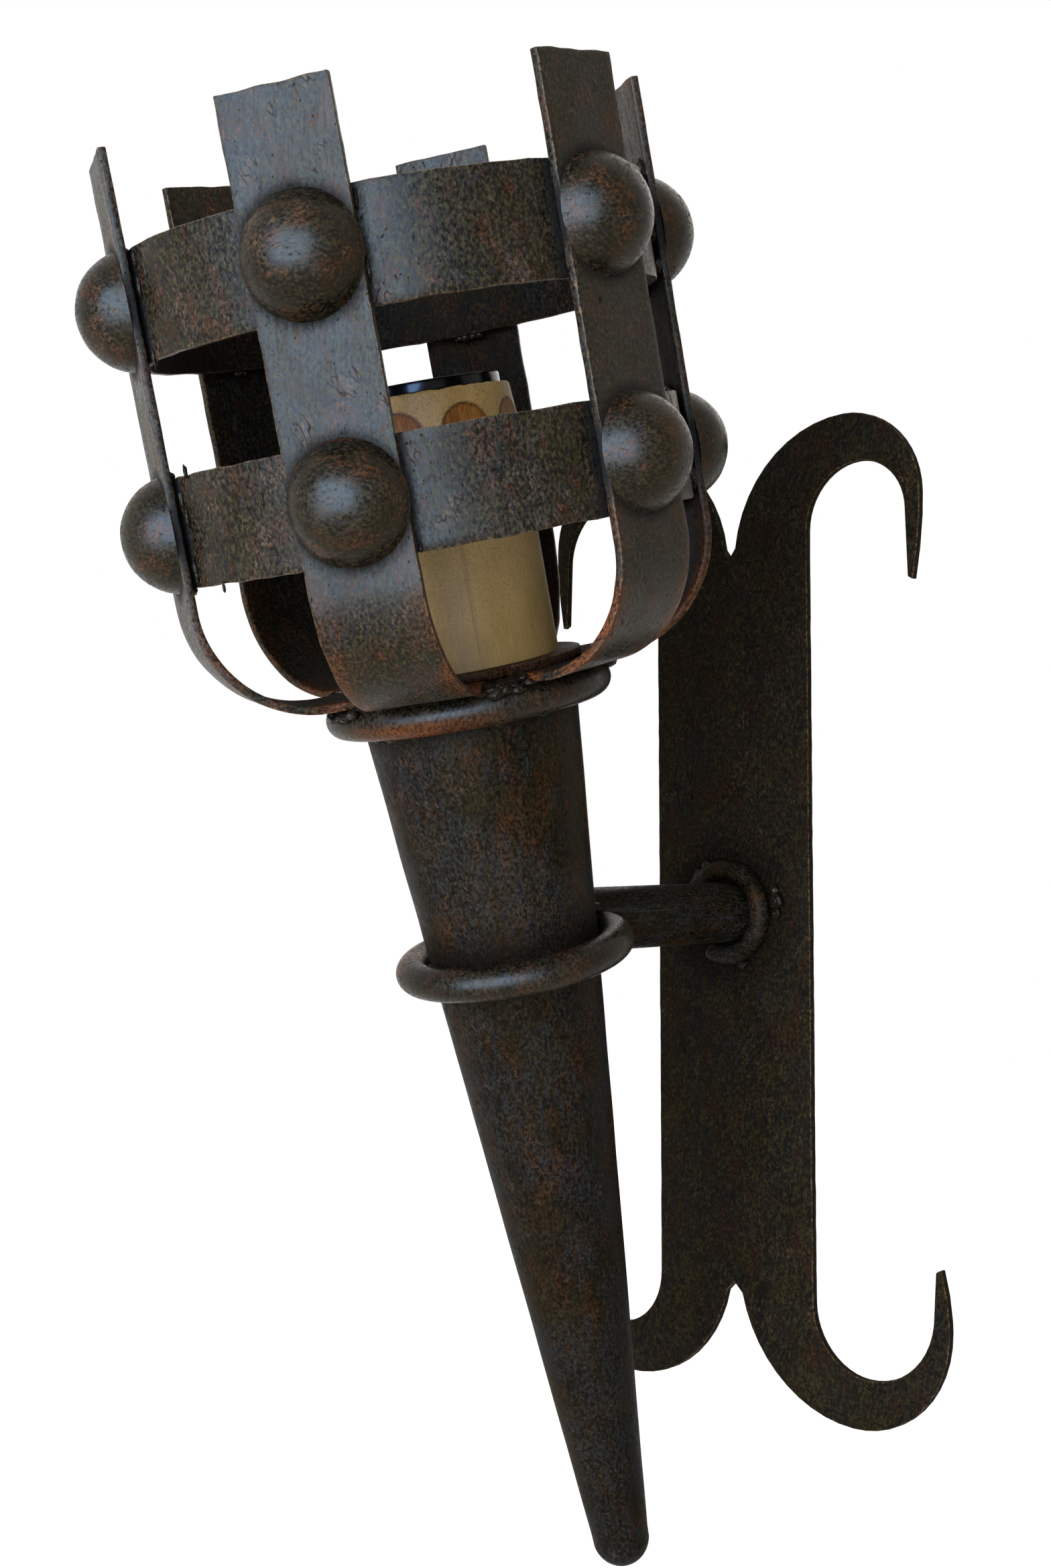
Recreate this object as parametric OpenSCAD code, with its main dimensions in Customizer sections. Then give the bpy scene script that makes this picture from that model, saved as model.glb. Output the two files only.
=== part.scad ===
// Wrought-iron torch for a wall: a plate cut into four horns, an arm, a tapered torch and an open
// basket of straps and hoops, with a lampholder under a loose sleeve in its middle.
// Millimetres, +Z up, +Y into the wall. The origin is on the wall face, level with the arm.

/* [Wall plate] */
// Width of the plate between its horns
plate_w = 52; // [44:1:64]
// Thickness of the plate
plate_t = 2; // [1.5:0.5:5]
// Height of the upper notch over the arm
notch_up = 96; // [80:1:130]
// Depth of the lower notch under the arm
notch_down = 99; // [80:1:130]
// Diameter of the hole that the cable comes through
cable_hole_d = 10; // [9:0.5:12]

/* [Horns] */
// Rise of the upper horns over their notch
upper_rise = 34; // [30:0.5:42]
// Distance from the middle of the plate to the outside of the upper right horn
upper_reach = 61; // [58:0.5:74]
// Distance from the middle of the plate to the outside of the upper left horn, the larger of the two
upper_left_reach = 65; // [58:0.5:74]
// How far the tips of the upper horns run back from their widest point
upper_tip = 22; // [10:0.5:26]
// Fall of the lower horns under their notch
lower_rise = 30.5; // [28:0.5:42]
// Distance from the middle of the plate to the outside of the lower horns
lower_reach = 67; // [58:0.5:74]
// How far the tips of the lower horns run back from their widest point
lower_tip = 15; // [8:0.5:26]
// Distance from the middle of the plate to the crest of the horns
crest_out = 38; // [35:0.5:42]
// Steel left over the hook at the crest
crest_w = 13; // [9:0.5:16]
// Width of a horn beside its hook
side_w = 4.5; // [3:0.5:8]
// Width of the blunt end of a horn
tip_w = 1.6; // [1:0.2:3]

/* [Arm] */
// Outside diameter of the tube
arm_d = 16; // [14:0.5:22]
// Wall of the tube
arm_wall = 1.5; // [1:0.25:2]
// Distance from the plate to the axis of the torch
arm_len = 84; // [70:1:130]
// Diameter of the round bar bent round the arm at the plate
collar_bar = 5; // [4:0.5:8]
// Gap between that bar and the arm
collar_gap = 1; // [0.2:0.1:2]
// Angle that the bar covers round the arm
collar_turn = 320; // [240:5:350]

/* [Torch] */
// Lean of the torch away from the wall, in degrees
lean = 14; // [10:1:22]
// Length of the tapered tube
cone_len = 221.5; // [170:0.5:280]
// Height of its mouth over the arm, along the torch
mouth_up = 61.5; // [45:0.5:80]
// Outside diameter of the mouth
mouth_d = 53; // [48:0.5:60]
// Outside diameter of the lower end
cone_end_d = 14; // [12:0.5:24]
// Wall of the tapered tube
cone_wall = 1.5; // [1:0.25:2.5]
// Height of the rounded tip that closes the lower end
tip_h = 6; // [3:0.5:6.5]
// Diameter of the round bar of the two rings
ring_bar = 8; // [5:0.5:10]
// How far the middle ring sits under the arm's axis, along the torch
middle_ring_down = 7.5; // [4:0.5:11]
// Gap between the middle ring and the torch
ring_slack = 0.6; // [0.2:0.1:1.5]

/* [Basket] */
// Radius of the basket over its straps
basket_r = 62; // [56:0.5:72]
// Width of a strap
strap_w = 25; // [18:0.5:26]
// Thickness of a strap
strap_t = 2; // [1.5:0.25:3]
// Outside radius of the bend at a strap's foot
strap_bend = 28; // [22:0.5:32]
// Height of the strap ends over the arm, along the torch
strap_top = 189; // [175:0.5:220]
// How far round each strap stands from its even place, in degrees, as fitted by hand
strap_shift = [1, 4, -4, 0, 1, 1]; // [-4:1:4]
// Height of the middle of the lower hoop over the arm, along the torch
lower_hoop_up = 105; // [98:0.5:115]
// Height of the middle of the upper hoop over the arm, along the torch
upper_hoop_up = 155; // [145:0.5:165]
// Height of a hoop
hoop_h = 25; // [16:0.5:28]
// Thickness of a hoop
hoop_t = 2; // [1.5:0.25:3]
// Diameter of a domed stud
stud_d = 26.5; // [16:0.5:30]
// Height of a domed stud
stud_h = 10.5; // [5:0.5:12]
// Thickness of the round floor over the mouth of the torch
floor_t = 2; // [1.5:0.5:4]
// How far the floor reaches past the mouth, over the strap feet
floor_lap = 1.5; // [0.5:0.25:4]

/* [Sleeve] */
// Outside diameter of the sleeve
sleeve_d = 46; // [45:0.5:52]
// Wall of the sleeve
sleeve_wall = 1.5; // [1.2:0.1:2]
// Height of the sleeve
sleeve_h = 63; // [60:0.5:80]
// Height of the lip that tapers in at the top
lip_h = 9; // [4:0.5:12]
// How far the lip tapers in
lip_in = 0.8; // [0.2:0.1:0.9]
// Number of dimples
dimple_n = 9; // [6:1:12]
// How far the dimples are turned round the sleeve, in degrees
dimple_turn = 24; // [0:1:60]
// Diameter of a dimple
dimple_d = 12; // [6:0.5:12]
// Depth of a dimple
dimple_depth = 0.8; // [0.3:0.1:0.9]
// Distance from the top of the sleeve to the middle of a dimple
dimple_down = 10; // [8:0.5:20]

/* [Lampholder] */
// Inside diameter of the screw shell that takes the lamp
lamp_thread_d = 26; // [25.5:0.1:26.5]
// Thickness of the screw shell
screw_shell_t = 0.5; // [0.3:0.1:0.8]
// Depth of the screw shell
screw_shell_h = 25; // [20:0.5:28]
// Diameter of the holder's rim
holder_rim_d = 40.6; // [39:0.2:41]
// How far the rim stands over the sleeve
rim_over = 2.5; // [1:0.5:8]
// Height of the rim
rim_h = 3; // [1:0.5:5]
// Diameter of the holder's cap
cap_d = 36; // [35:0.5:37]
// Wall of the cap
cap_wall = 2; // [1.5:0.25:2.5]
// Height of the core that carries the contacts
core_h = 14; // [11:0.5:16]
// Length over which the shell screws on the cap
screw_on = 6; // [3:0.5:8]
// Thickness of the centre contact
contact_t = 1.5; // [0.5:0.25:3]

/* [Nipple and wiring] */
// Thread diameter of the hollow nipple
nipple_d = 10; // [9:0.5:12]
// Bore of the nipple
nipple_bore = 8; // [6.5:0.5:8]
// Width across flats of the nuts
nut_flats = 14; // [14:0.5:17]
// Height of a nut
nut_h = 3; // [2:0.5:4]
// Thickness of the earth tag
tag_t = 1; // [0.5:0.25:1.5]
// Diameter of an insulated lead
lead_d = 2.2; // [1.6:0.1:2.4]
// Radius of the bend of the leads from the torch into the arm
lead_bend = 10; // [8.5:0.5:11]

/* [Hidden] */
$fn = 96;
straps = 6;

// Gaps between pieces
weld_gap = 0.1;      // between bars and plates that a weld bead joins
foot_gap = 0.3;      // between the feet of neighbouring straps
thread_gap = 0.05;   // between a thread and its hole
floor_hole_gap = 0.2;

// Outline of the horns
notch_half = 1.6;    // half the width of a notch where its sides turn into arcs
notch_start = 2.5;   // height over the notch at which they do
hook_shift = 4.5;    // the hook's crown lies this much further out than the crest
tip_in = 2.2;        // the tip leans in by this much
arc_step = 7.5;      // degrees between the points of an arc

// Levels along the torch, counted from the arm
slope = (mouth_d - cone_end_d) / 2 / cone_len;
cone_end = mouth_up - cone_len;
foot_level = mouth_up - strap_t;
mouth_ring_level = foot_level - ring_bar / 2;
floor_top = mouth_up + floor_t;
sleeve_top = floor_top + sleeve_h;
holder_top = sleeve_top + rim_over;
shell_inset = 2;     // the screw shell ends this far under the holder's rim
core_top = holder_top - shell_inset - screw_shell_h;
core_foot = core_top - core_h;
cap_foot_h = 2;      // thickness of the cap's floor over its shoulder
shoulder_h = 4;
neck_h = 6;
neck_foot = core_foot - cap_foot_h - shoulder_h - neck_h;
tag_foot = mouth_up - tag_t;
lower_nut_foot = tag_foot - nut_h;
nipple_foot = lower_nut_foot - 2;
nipple_top = core_foot - 2;

// Basket
gaps = [for (i = [0 : straps - 1]) 360 / straps + strap_shift[(i + 1) % straps] - strap_shift[i]];
foot_in = max(mouth_d / 2 + weld_gap, (strap_w + foot_gap) / 2 / tan(min(gaps) / 2));
bend_r = min(strap_bend, lower_hoop_up - hoop_h / 2 - foot_level, basket_r - foot_in - 1);
hoop_r = basket_r - strap_t - weld_gap;
floor_r = foot_in + floor_lap;

// Lampholder
nut_r = nut_flats / sqrt(3);
tag_r = nipple_d / 2 + 3;
tag_w = 7;
earth_out = nut_r + lead_d / 2 + 2.8;    // from the torch's axis to the earth lead
tag_reach = earth_out + lead_d / 2 + 0.9;
neck_r = nipple_d / 2 + 4;
holder_body_r = cap_d / 2 + 1.6;
shell_bore = lamp_thread_d / 2 + screw_shell_t + 0.7;
lead_side = 1.7;     // live and neutral lie this far each side of the middle
earth_rise = 2.6;    // and the earth this far over them in the arm
contact_r = 4;
bend_swell = 0.1;    // a lead is this much thicker through its bend
bend_lap = 0.5;      // and its straight stretches run into the bend by this much

// ---- helpers ----

function arc(cx, cy, r, from, to) =
    let (n = max(1, ceil(abs(to - from) / arc_step)))
    [for (i = [0 : n]) let (a = from + (to - from) * i / n) [cx + r * cos(a), cy + r * sin(a)]];
function reversed(pts) = [for (i = [len(pts) - 1 : -1 : 0]) pts[i]];
function cone_r(s) = mouth_d / 2 - (mouth_up - s) * slope;
function strap_turn(i) = 360 / straps * (i + 0.5) + strap_shift[i];

// From the torch's own axis, with its front at -Y, to its place in front of the plate
module on_torch() {
    translate([0, -plate_t - arm_len, 0]) rotate([lean, 0, 0]) children();
}

// From a drawing that points along +X to its place round the torch, counted from the front
module round_torch(turn) {
    on_torch() rotate([0, 0, turn - 90]) children();
}

module tube(r, bore, h) {
    difference() {
        cylinder(r = r, h = h);
        translate([0, 0, -1]) cylinder(r = bore, h = h + 2);
    }
}

module bar_ring(r, bar, turn = 360) {
    rotate_extrude(angle = turn) translate([r, 0]) circle(d = bar);
}

// A slice of a ball, flat at z = 0
module dome(r, h) {
    ball = (r * r + h * h) / (2 * h);
    intersection() {
        translate([0, 0, h - ball]) sphere(r = ball);
        cylinder(r = ball + 1, h = h + 1);
    }
}

// ---- wall plate ----

// One horn as points from its notch at [0, 0], out over the crest to the tip and back to the plate's edge
function horn(rise, reach, tip_back) =
    let (
        outer_r = crest_out - notch_half,
        side_r = reach - crest_out,
        tip_x = reach - tip_in,
        tip_y = rise - side_r - tip_back,
        flank_r = (tip_back * tip_back + tip_in * tip_in) / (2 * tip_in),
        hook_x = crest_out + hook_shift,
        root_r = hook_x - plate_w / 2,
        bow_r = reach - side_w - hook_x,
        hook_y = rise - crest_w
    )
    concat(
        arc(crest_out, rise - outer_r, outer_r, 180 - asin((notch_start - rise + outer_r) / outer_r), 90),
        arc(crest_out, rise - side_r, side_r, 90, 0),
        arc(reach - flank_r, rise - side_r, flank_r, -3, -asin(tip_back / flank_r)),
        [[tip_x - tip_w, tip_y + tip_w / 2]],
        arc(hook_x, hook_y - bow_r, bow_r, 0, 90),
        arc(hook_x, hook_y - root_r, root_r, 97.5, 180)
    );

// One side of the plate from the upper notch to the lower one
function plate_side(reach) =
    concat(
        [for (p = horn(upper_rise, reach, upper_tip)) [p.x, notch_up + p.y]],
        reversed([for (p = horn(lower_rise, lower_reach, lower_tip)) [p.x, -notch_down - p.y]])
    );

function plate_outline() =
    concat(
        [[0, notch_up]], plate_side(upper_reach), [[0, -notch_down]],
        [for (p = reversed(plate_side(upper_left_reach))) [-p.x, p.y]]
    );

module back_plate() {
    color("#2b2421") rotate([90, 0, 0]) difference() {
        linear_extrude(plate_t) polygon(plate_outline());
        translate([0, 0, -1]) cylinder(d = cable_hole_d, h = plate_t + 2);
    }
}

// ---- arm ----

module arm_rod(r, h) {
    translate([0, -plate_t, 0]) rotate([90, 0, 0]) cylinder(r = r, h = h);
}

module arm_tube() {
    color("#33291f") difference() {
        arm_rod(arm_d / 2, arm_len);
        translate([0, 1, 0]) arm_rod(arm_d / 2 - arm_wall, arm_len + 2);
        cone_body(0);
    }
}

module arm_collar() {
    open_at = 225; // the open side looks down and away from the front
    color("#3a2a20")
    translate([0, -plate_t - collar_bar / 2 - weld_gap, 0]) rotate([90, 0, 0])
    rotate([0, 0, open_at + (360 - collar_turn) / 2])
    bar_ring(arm_d / 2 + collar_gap + collar_bar / 2, collar_bar, collar_turn);
}

// ---- torch ----

// The tapered tube as a solid, smaller all round by the given amount
module cone_body(inset) {
    on_torch() translate([0, 0, cone_end])
    cylinder(r1 = cone_end_d / 2 - inset, r2 = mouth_d / 2 - inset, h = cone_len);
}

module torch_cone() {
    color("#3a3330") difference() {
        cone_body(0);
        cone_body(cone_wall);
        on_torch() translate([0, 0, mouth_up - 1]) cylinder(r = mouth_d / 2 - cone_wall, h = 2);
        on_torch() translate([0, 0, cone_end - 1]) cylinder(r = cone_end_d / 2 - cone_wall, h = 2);
        arm_rod(arm_d / 2 - arm_wall, arm_len);
    }
}

module cone_tip() {
    plug_h = 5;
    color("#3a3330") on_torch() translate([0, 0, cone_end]) {
        mirror([0, 0, 1]) dome(cone_end_d / 2, tip_h);
        cylinder(r = cone_end_d / 2 - cone_wall, h = plug_h);
    }
}

module mouth_ring() {
    color("#3d3029") on_torch() translate([0, 0, mouth_ring_level])
    bar_ring(cone_r(mouth_ring_level) + ring_bar / 2 + weld_gap, ring_bar);
}

// Open at the back, where its ends are fitted to the sides of the arm
module middle_ring() {
    color("#3d3029") difference() {
        on_torch() translate([0, 0, -middle_ring_down])
        bar_ring(cone_r(-middle_ring_down) + ring_bar / 2 + ring_slack, ring_bar);
        arm_rod(arm_d / 2, arm_len);
    }
}

// ---- basket ----

module basket_floor() {
    color("#2f2620") on_torch() translate([0, 0, mouth_up])
    tube(floor_r, nipple_d / 2 + floor_hole_gap, floor_t);
}

// Upright leg, quarter bend and foot of one strap
module strap(i) {
    bend_x = basket_r - bend_r;
    bend_z = foot_level + bend_r;
    color("#41393a") round_torch(strap_turn(i)) translate([0, -strap_w / 2, 0]) {
        translate([basket_r - strap_t, 0, bend_z]) cube([strap_t, strap_w, strap_top - bend_z]);
        translate([foot_in, 0, foot_level]) cube([bend_x - foot_in, strap_w, strap_t]);
        translate([bend_x, strap_w, bend_z]) rotate([90, 0, 0]) rotate([0, 0, -90])
        rotate_extrude(angle = 90) translate([bend_r - strap_t, 0]) square([strap_t, strap_w]);
    }
}

module hoop(level) {
    color("#3f3738") on_torch() translate([0, 0, level - hoop_h / 2])
    tube(hoop_r, hoop_r - hoop_t, hoop_h);
}

module studs(level) {
    color("#2e2722") for (i = [0 : straps - 1])
        round_torch(strap_turn(i)) translate([basket_r, 0, level]) rotate([0, 90, 0])
        dome(stud_d / 2, stud_h);
}

// ---- sleeve ----

module lamp_sleeve() {
    r = sleeve_d / 2;
    ball = (dimple_d * dimple_d / 4 + dimple_depth * dimple_depth) / (2 * dimple_depth);
    color("#a3946a") on_torch() translate([0, 0, floor_top]) difference() {
        union() {
            cylinder(r = r, h = sleeve_h - lip_h);
            translate([0, 0, sleeve_h - lip_h]) cylinder(r1 = r, r2 = r - lip_in, h = lip_h);
        }
        translate([0, 0, -1]) cylinder(r = r - sleeve_wall, h = sleeve_h + 2);
        for (i = [0 : dimple_n - 1]) rotate([0, 0, dimple_turn + 360 / dimple_n * i])
            translate([r + ball - dimple_depth, 0, sleeve_h - dimple_down]) sphere(r = ball);
    }
}

// ---- lampholder ----

module holder_cap() {
    r = cap_d / 2;
    color("#161618") on_torch() translate([0, 0, neck_foot]) difference() {
        union() {
            cylinder(r = neck_r, h = neck_h);
            translate([0, 0, neck_h]) cylinder(r1 = neck_r, r2 = r, h = shoulder_h);
            translate([0, 0, neck_h + shoulder_h]) cylinder(r = r, h = cap_foot_h + core_h);
        }
        translate([0, 0, -1]) cylinder(r = nipple_d / 2 + thread_gap, h = 40);
        translate([0, 0, core_foot - neck_foot]) cylinder(r = r - cap_wall, h = core_h + 1);
    }
}

module holder_shell() {
    h = holder_top - core_top;
    color("#121214") on_torch() translate([0, 0, core_top - screw_on]) difference() {
        union() {
            cylinder(r = holder_body_r, h = screw_on + h);
            translate([0, 0, screw_on + h - rim_h]) cylinder(r = holder_rim_d / 2, h = rim_h);
        }
        translate([0, 0, -1]) cylinder(r = cap_d / 2 + thread_gap, h = screw_on + 1);
        translate([0, 0, -1]) cylinder(r = shell_bore, h = screw_on + h + 2);
    }
}

// With a round recess that the centre contact lies in, level with its top
module contact_core() {
    color("#d8d4c8") on_torch() translate([0, 0, core_foot]) difference() {
        cylinder(r = cap_d / 2 - cap_wall - thread_gap, h = core_h);
        translate([0, 0, core_h - contact_t]) cylinder(r = contact_r + thread_gap, h = contact_t + 1);
    }
}

module screw_shell() {
    color("#b08d3c") on_torch() translate([0, 0, core_top])
    tube(lamp_thread_d / 2 + screw_shell_t, lamp_thread_d / 2, screw_shell_h);
}

module centre_contact() {
    color("#b08d3c") on_torch() translate([0, 0, core_top - contact_t])
    cylinder(r = contact_r, h = contact_t);
}

// ---- nipple and wiring ----

module nipple() {
    color("#8d8d8d") on_torch() translate([0, 0, nipple_foot])
    tube(nipple_d / 2, nipple_bore / 2, nipple_top - nipple_foot);
}

module nipple_nuts() {
    color("#8d8d8d") on_torch() for (foot = [lower_nut_foot, floor_top]) translate([0, 0, foot])
    difference() {
        cylinder(r = nut_r, h = nut_h, $fn = 6);
        translate([0, 0, -1]) cylinder(r = nipple_d / 2 + thread_gap, h = nut_h + 2);
    }
}

module earth_tag() {
    color("#b08d3c") on_torch() translate([0, 0, tag_foot]) difference() {
        union() {
            cylinder(r = tag_r, h = tag_t);
            translate([-tag_w / 2, 0, 0]) cube([tag_w, tag_reach, tag_t]);
        }
        translate([0, 0, -1]) cylinder(r = nipple_d / 2 + thread_gap, h = tag_t + 2);
    }
}

// A lead that runs down the torch, bends into the arm and ends at the wall face.
// side: place across the arm, back: place behind the torch's axis, rise: height in the arm
module lead(side, back, rise, top) {
    turn = 90 - lean;
    meet = (rise - back * sin(lean)) / cos(lean);
    meet_y = -plate_t - arm_len - meet * sin(lean) + back * cos(lean);
    tangent = lead_bend * tan(turn / 2);
    on_torch() translate([side, back, meet + tangent - bend_lap])
    cylinder(d = lead_d, h = top - meet - tangent + bend_lap);
    translate([side, meet_y + tangent, rise + lead_bend]) rotate([90, 0, 90]) rotate([0, 0, 180 + lean])
    rotate_extrude(angle = turn) translate([lead_bend, 0]) circle(d = lead_d + bend_swell);
    translate([side, meet_y + tangent - bend_lap, rise]) rotate([-90, 0, 0])
    cylinder(d = lead_d, h = -meet_y - tangent + bend_lap);
}

module live_lead() {
    color("#6b4423") lead(lead_side, 0, 0, core_foot);
}

module neutral_lead() {
    color("#3f6fae") lead(-lead_side, 0, 0, core_foot);
}

module earth_lead() {
    color("#7fa23c") lead(0, earth_out, earth_rise, tag_foot);
}

// ---- the pieces ----

back_plate();
arm_tube();
arm_collar();
torch_cone();
cone_tip();
mouth_ring();
middle_ring();
basket_floor();
strap(0);  // strap_1
strap(1);  // strap_2
strap(2);  // strap_3
strap(3);  // strap_4
strap(4);  // strap_5
strap(5);  // strap_6
hoop(lower_hoop_up);  // lower_hoop
hoop(upper_hoop_up);  // upper_hoop
studs(lower_hoop_up);  // lower_studs
studs(upper_hoop_up);  // upper_studs
lamp_sleeve();
holder_cap();
holder_shell();
contact_core();
screw_shell();
centre_contact();
nipple();
nipple_nuts();
earth_tag();
live_lead();
neutral_lead();
earth_lead();
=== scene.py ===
import math
import random
from itertools import product

import bmesh
import bpy
from bpy.props import FloatProperty, FloatVectorProperty, IntProperty, PointerProperty
from mathutils import Matrix, Vector, noise


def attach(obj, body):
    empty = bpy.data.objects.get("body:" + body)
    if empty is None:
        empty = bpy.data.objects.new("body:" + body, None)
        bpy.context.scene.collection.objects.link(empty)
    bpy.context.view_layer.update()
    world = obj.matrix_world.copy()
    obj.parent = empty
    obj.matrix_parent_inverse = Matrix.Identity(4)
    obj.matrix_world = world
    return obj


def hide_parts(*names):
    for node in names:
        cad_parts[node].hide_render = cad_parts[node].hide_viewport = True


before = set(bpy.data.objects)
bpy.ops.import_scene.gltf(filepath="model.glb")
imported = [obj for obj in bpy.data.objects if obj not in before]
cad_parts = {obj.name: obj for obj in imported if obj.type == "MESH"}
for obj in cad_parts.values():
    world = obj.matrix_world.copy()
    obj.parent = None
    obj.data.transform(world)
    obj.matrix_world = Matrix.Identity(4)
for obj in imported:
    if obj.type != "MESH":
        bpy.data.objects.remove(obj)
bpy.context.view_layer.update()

bl_info = {
    "name": "Wrought-iron torch light",
    "version": (1, 0, 0),
    "blender": (4, 5, 0),
    "location": "3D View > Sidebar > Torch light",
    "description": "A forged wall torch: horned plate, arm, taper, riveted basket and sleeved lampholder",
    "category": "Add Mesh",
}

MM = 0.001
FITTING = "fitting"
SLEEVE = "sleeve"
STRAP_TURNS = (31, 94, 146, 210, 271, 331)  # degrees round the torch from the front, as fitted


def linear(code):
    """The linear colour of an sRGB hex value such as #8a4e2a."""
    parts = [int(code[i : i + 2], 16) / 255 for i in (1, 3, 5)]
    return [c / 12.92 if c <= 0.04045 else ((c + 0.055) / 1.055) ** 2.4 for c in parts] + [1.0]


def length(name, mm, description):
    """A length that a user can change, given in millimetres and kept in metres."""
    return FloatProperty(name=name, description=description, default=mm * MM, subtype="DISTANCE", precision=5)


def angle(name, degrees, description):
    """An angle that a user can change, given in degrees and kept in radians."""
    return FloatProperty(name=name, description=description, default=math.radians(degrees), subtype="ANGLE")


def tone(name, code, description):
    """A colour that a user can change, given as an sRGB hex value."""
    return FloatVectorProperty(
        name=name, description=description, default=linear(code), size=4, subtype="COLOR", min=0, max=1
    )


# ---- what a user would change ----


class TorchSizes(bpy.types.PropertyGroup):
    """Sizes of the pieces that are modelled here; they match the solids they stand for"""

    plate_thick: length("Plate", 2, "Thickness of the wall plate")
    arm_length: length("Arm length", 84, "From the plate to the axis of the torch")
    arm_radius: length("Arm radius", 8, "Outside radius of the arm")
    lean: angle("Lean", 14, "Lean of the torch off the wall")
    mouth_up: length("Mouth", 61.5, "Height of the torch's mouth over the arm, along the torch")
    mouth_radius: length("Mouth radius", 26.5, "Outside radius of the torch's mouth")
    cone_length: length("Taper length", 221.5, "Length of the tapered tube")
    cone_end_radius: length("Lower end radius", 7, "Outside radius of the lower end")
    cone_wall: length("Taper wall", 1.5, "Wall of the tapered tube")
    ring_bar: length("Ring bar", 8, "Diameter of the round bar of the rings")
    middle_ring_down: length("Middle ring", 7.5, "How far the middle ring sits under the arm's axis")
    basket_radius: length("Basket radius", 62, "Radius of the basket over its straps")
    strap_width: length("Strap width", 25, "Width of a strap")
    strap_thick: length("Strap thickness", 2, "Thickness of a strap")
    strap_top: length("Strap top", 189, "Height of the strap ends over the arm")
    strap_bend: length("Strap bend", 28, "Outside radius of the bend at a strap's foot")
    strap_foot: length("Strap foot", 26.62, "Where a strap's foot starts, from the torch's axis")
    hoop_height: length("Hoop height", 25, "Height of a hoop")
    hoop_thick: length("Hoop thickness", 2, "Thickness of a hoop")
    hoop_radius: length("Hoop radius", 59.9, "Outside radius of a hoop")
    lower_hoop: length("Lower hoop", 105, "Height of the middle of the lower hoop")
    upper_hoop: length("Upper hoop", 155, "Height of the middle of the upper hoop")
    stud_radius: length("Stud radius", 13.25, "Radius of a domed stud")
    stud_height: length("Stud height", 10.5, "Height of a domed stud")
    sleeve_radius: length("Sleeve radius", 23, "Outside radius of the sleeve")
    sleeve_wall: length("Sleeve wall", 1.5, "Wall of the sleeve")
    sleeve_foot: length("Sleeve foot", 63.5, "Height of the sleeve's lower end over the arm")
    sleeve_height: length("Sleeve height", 63, "Height of the sleeve")
    lip_height: length("Lip height", 9, "Height of the sleeve's tapering lip")
    lip_in: length("Lip taper", 0.8, "How far the lip tapers in")
    dimples: IntProperty(
        name="Dimples", description="Number of dimples round the sleeve", default=9, min=3, max=16
    )
    dimple_turn: angle("Dimple turn", 24, "Turn of the dimples")
    dimple_radius: length("Dimple radius", 6, "Radius of a dimple")
    dimple_depth: length("Dimple depth", 0.8, "Depth of a dimple")
    dimple_down: length("Dimple place", 10, "From the top of the sleeve to the middle of a dimple")
    thread_radius: length("Thread radius", 13, "Mean inside radius of the screw shell")
    thread_pitch: length("Thread pitch", 3.62, "Rise of the rolled thread in one turn")
    thread_foot: length("Thread foot", 102, "Height of the screw shell's lower end over the arm")
    thread_height: length("Thread height", 25, "Height of the screw shell")


class TorchWear(bpy.types.PropertyGroup):
    """How hand-made the piece looks"""

    edge: length("Soft edge", 0.35, "How far the cut edges are rounded")
    wander: length("Edge wander", 0.3, "How far the long edges of the flat bars wander")
    dent: length("Hammer marks", 0.22, "Depth of the shallow hammer marks")
    drop: length("Weld drop", 1.5, "Half the width of one drop of a weld")
    seed: IntProperty(name="Seed", description="Starting value for the scatter of welds and spatter", default=11)


class TorchFinish(bpy.types.PropertyGroup):
    """Colours of the finishes"""

    ground: tone("Lacquer", "#0d0b0a", "Black lacquer under everything")
    brown: tone("Brown", "#2f2416", "Brown clouds in the lacquer")
    olive: tone("Olive", "#3d3a1e", "Olive bloom between the brown")
    rust: tone("Rust", "#633c17", "Rust blush")
    bloom: tone("Rust bloom", "#74401c", "Orange rust at the strap feet and on the rings")
    copper: tone("Copper", "#7a5530", "Copper rubbed on by hand")
    grey: tone("Graphite", "#586472", "Blue-grey graphite rub")
    pale: tone("Pale hairs", "#a8948c", "Thin pale lines left by the brush")
    edge: tone("Bare edge", "#8d7558", "Pale brown of the rubbed edges")
    weld: tone("Weld", "#15110f", "Lacquer pooled over the welds")
    cream: tone("Cream", "#ecc98a", "Aged cream paint of the sleeve")
    amber: tone("Amber", "#8d5518", "Amber-brown stain in the dimples")
    black: tone("Black", "#08080a", "Black plastic of the lampholder")


class TorchStudio(bpy.types.PropertyGroup):
    """Light and camera"""

    key_power: FloatProperty(name="Window", description="Power of the large soft lamp", default=22, unit="POWER")
    sheen_power: FloatProperty(
        name="Sheen", description="Power of the same lamp in the gloss", default=250, unit="POWER"
    )
    fill: FloatProperty(name="Fill", description="Strength of the light from all round", default=0.24, min=0)
    focal: FloatProperty(
        name="Focal length", description="Focal length of the camera", default=44.85, unit="CAMERA"
    )


class TorchSettings(bpy.types.PropertyGroup):
    """Everything that can be set"""

    sizes: PointerProperty(type=TorchSizes)
    wear: PointerProperty(type=TorchWear)
    finish: PointerProperty(type=TorchFinish)
    studio: PointerProperty(type=TorchStudio)


# ---- places round the torch ----


def torch_place(sizes, turn=None):
    """From a drawing of the torch, axis up and front at -Y, to its place; with a turn, +X points that way."""
    foot = Matrix.Translation((0, -sizes.plate_thick - sizes.arm_length, 0))
    place = foot @ Matrix.Rotation(sizes.lean, 4, "X")
    return place if turn is None else place @ Matrix.Rotation(math.radians(turn - 90), 4, "Z")


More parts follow.
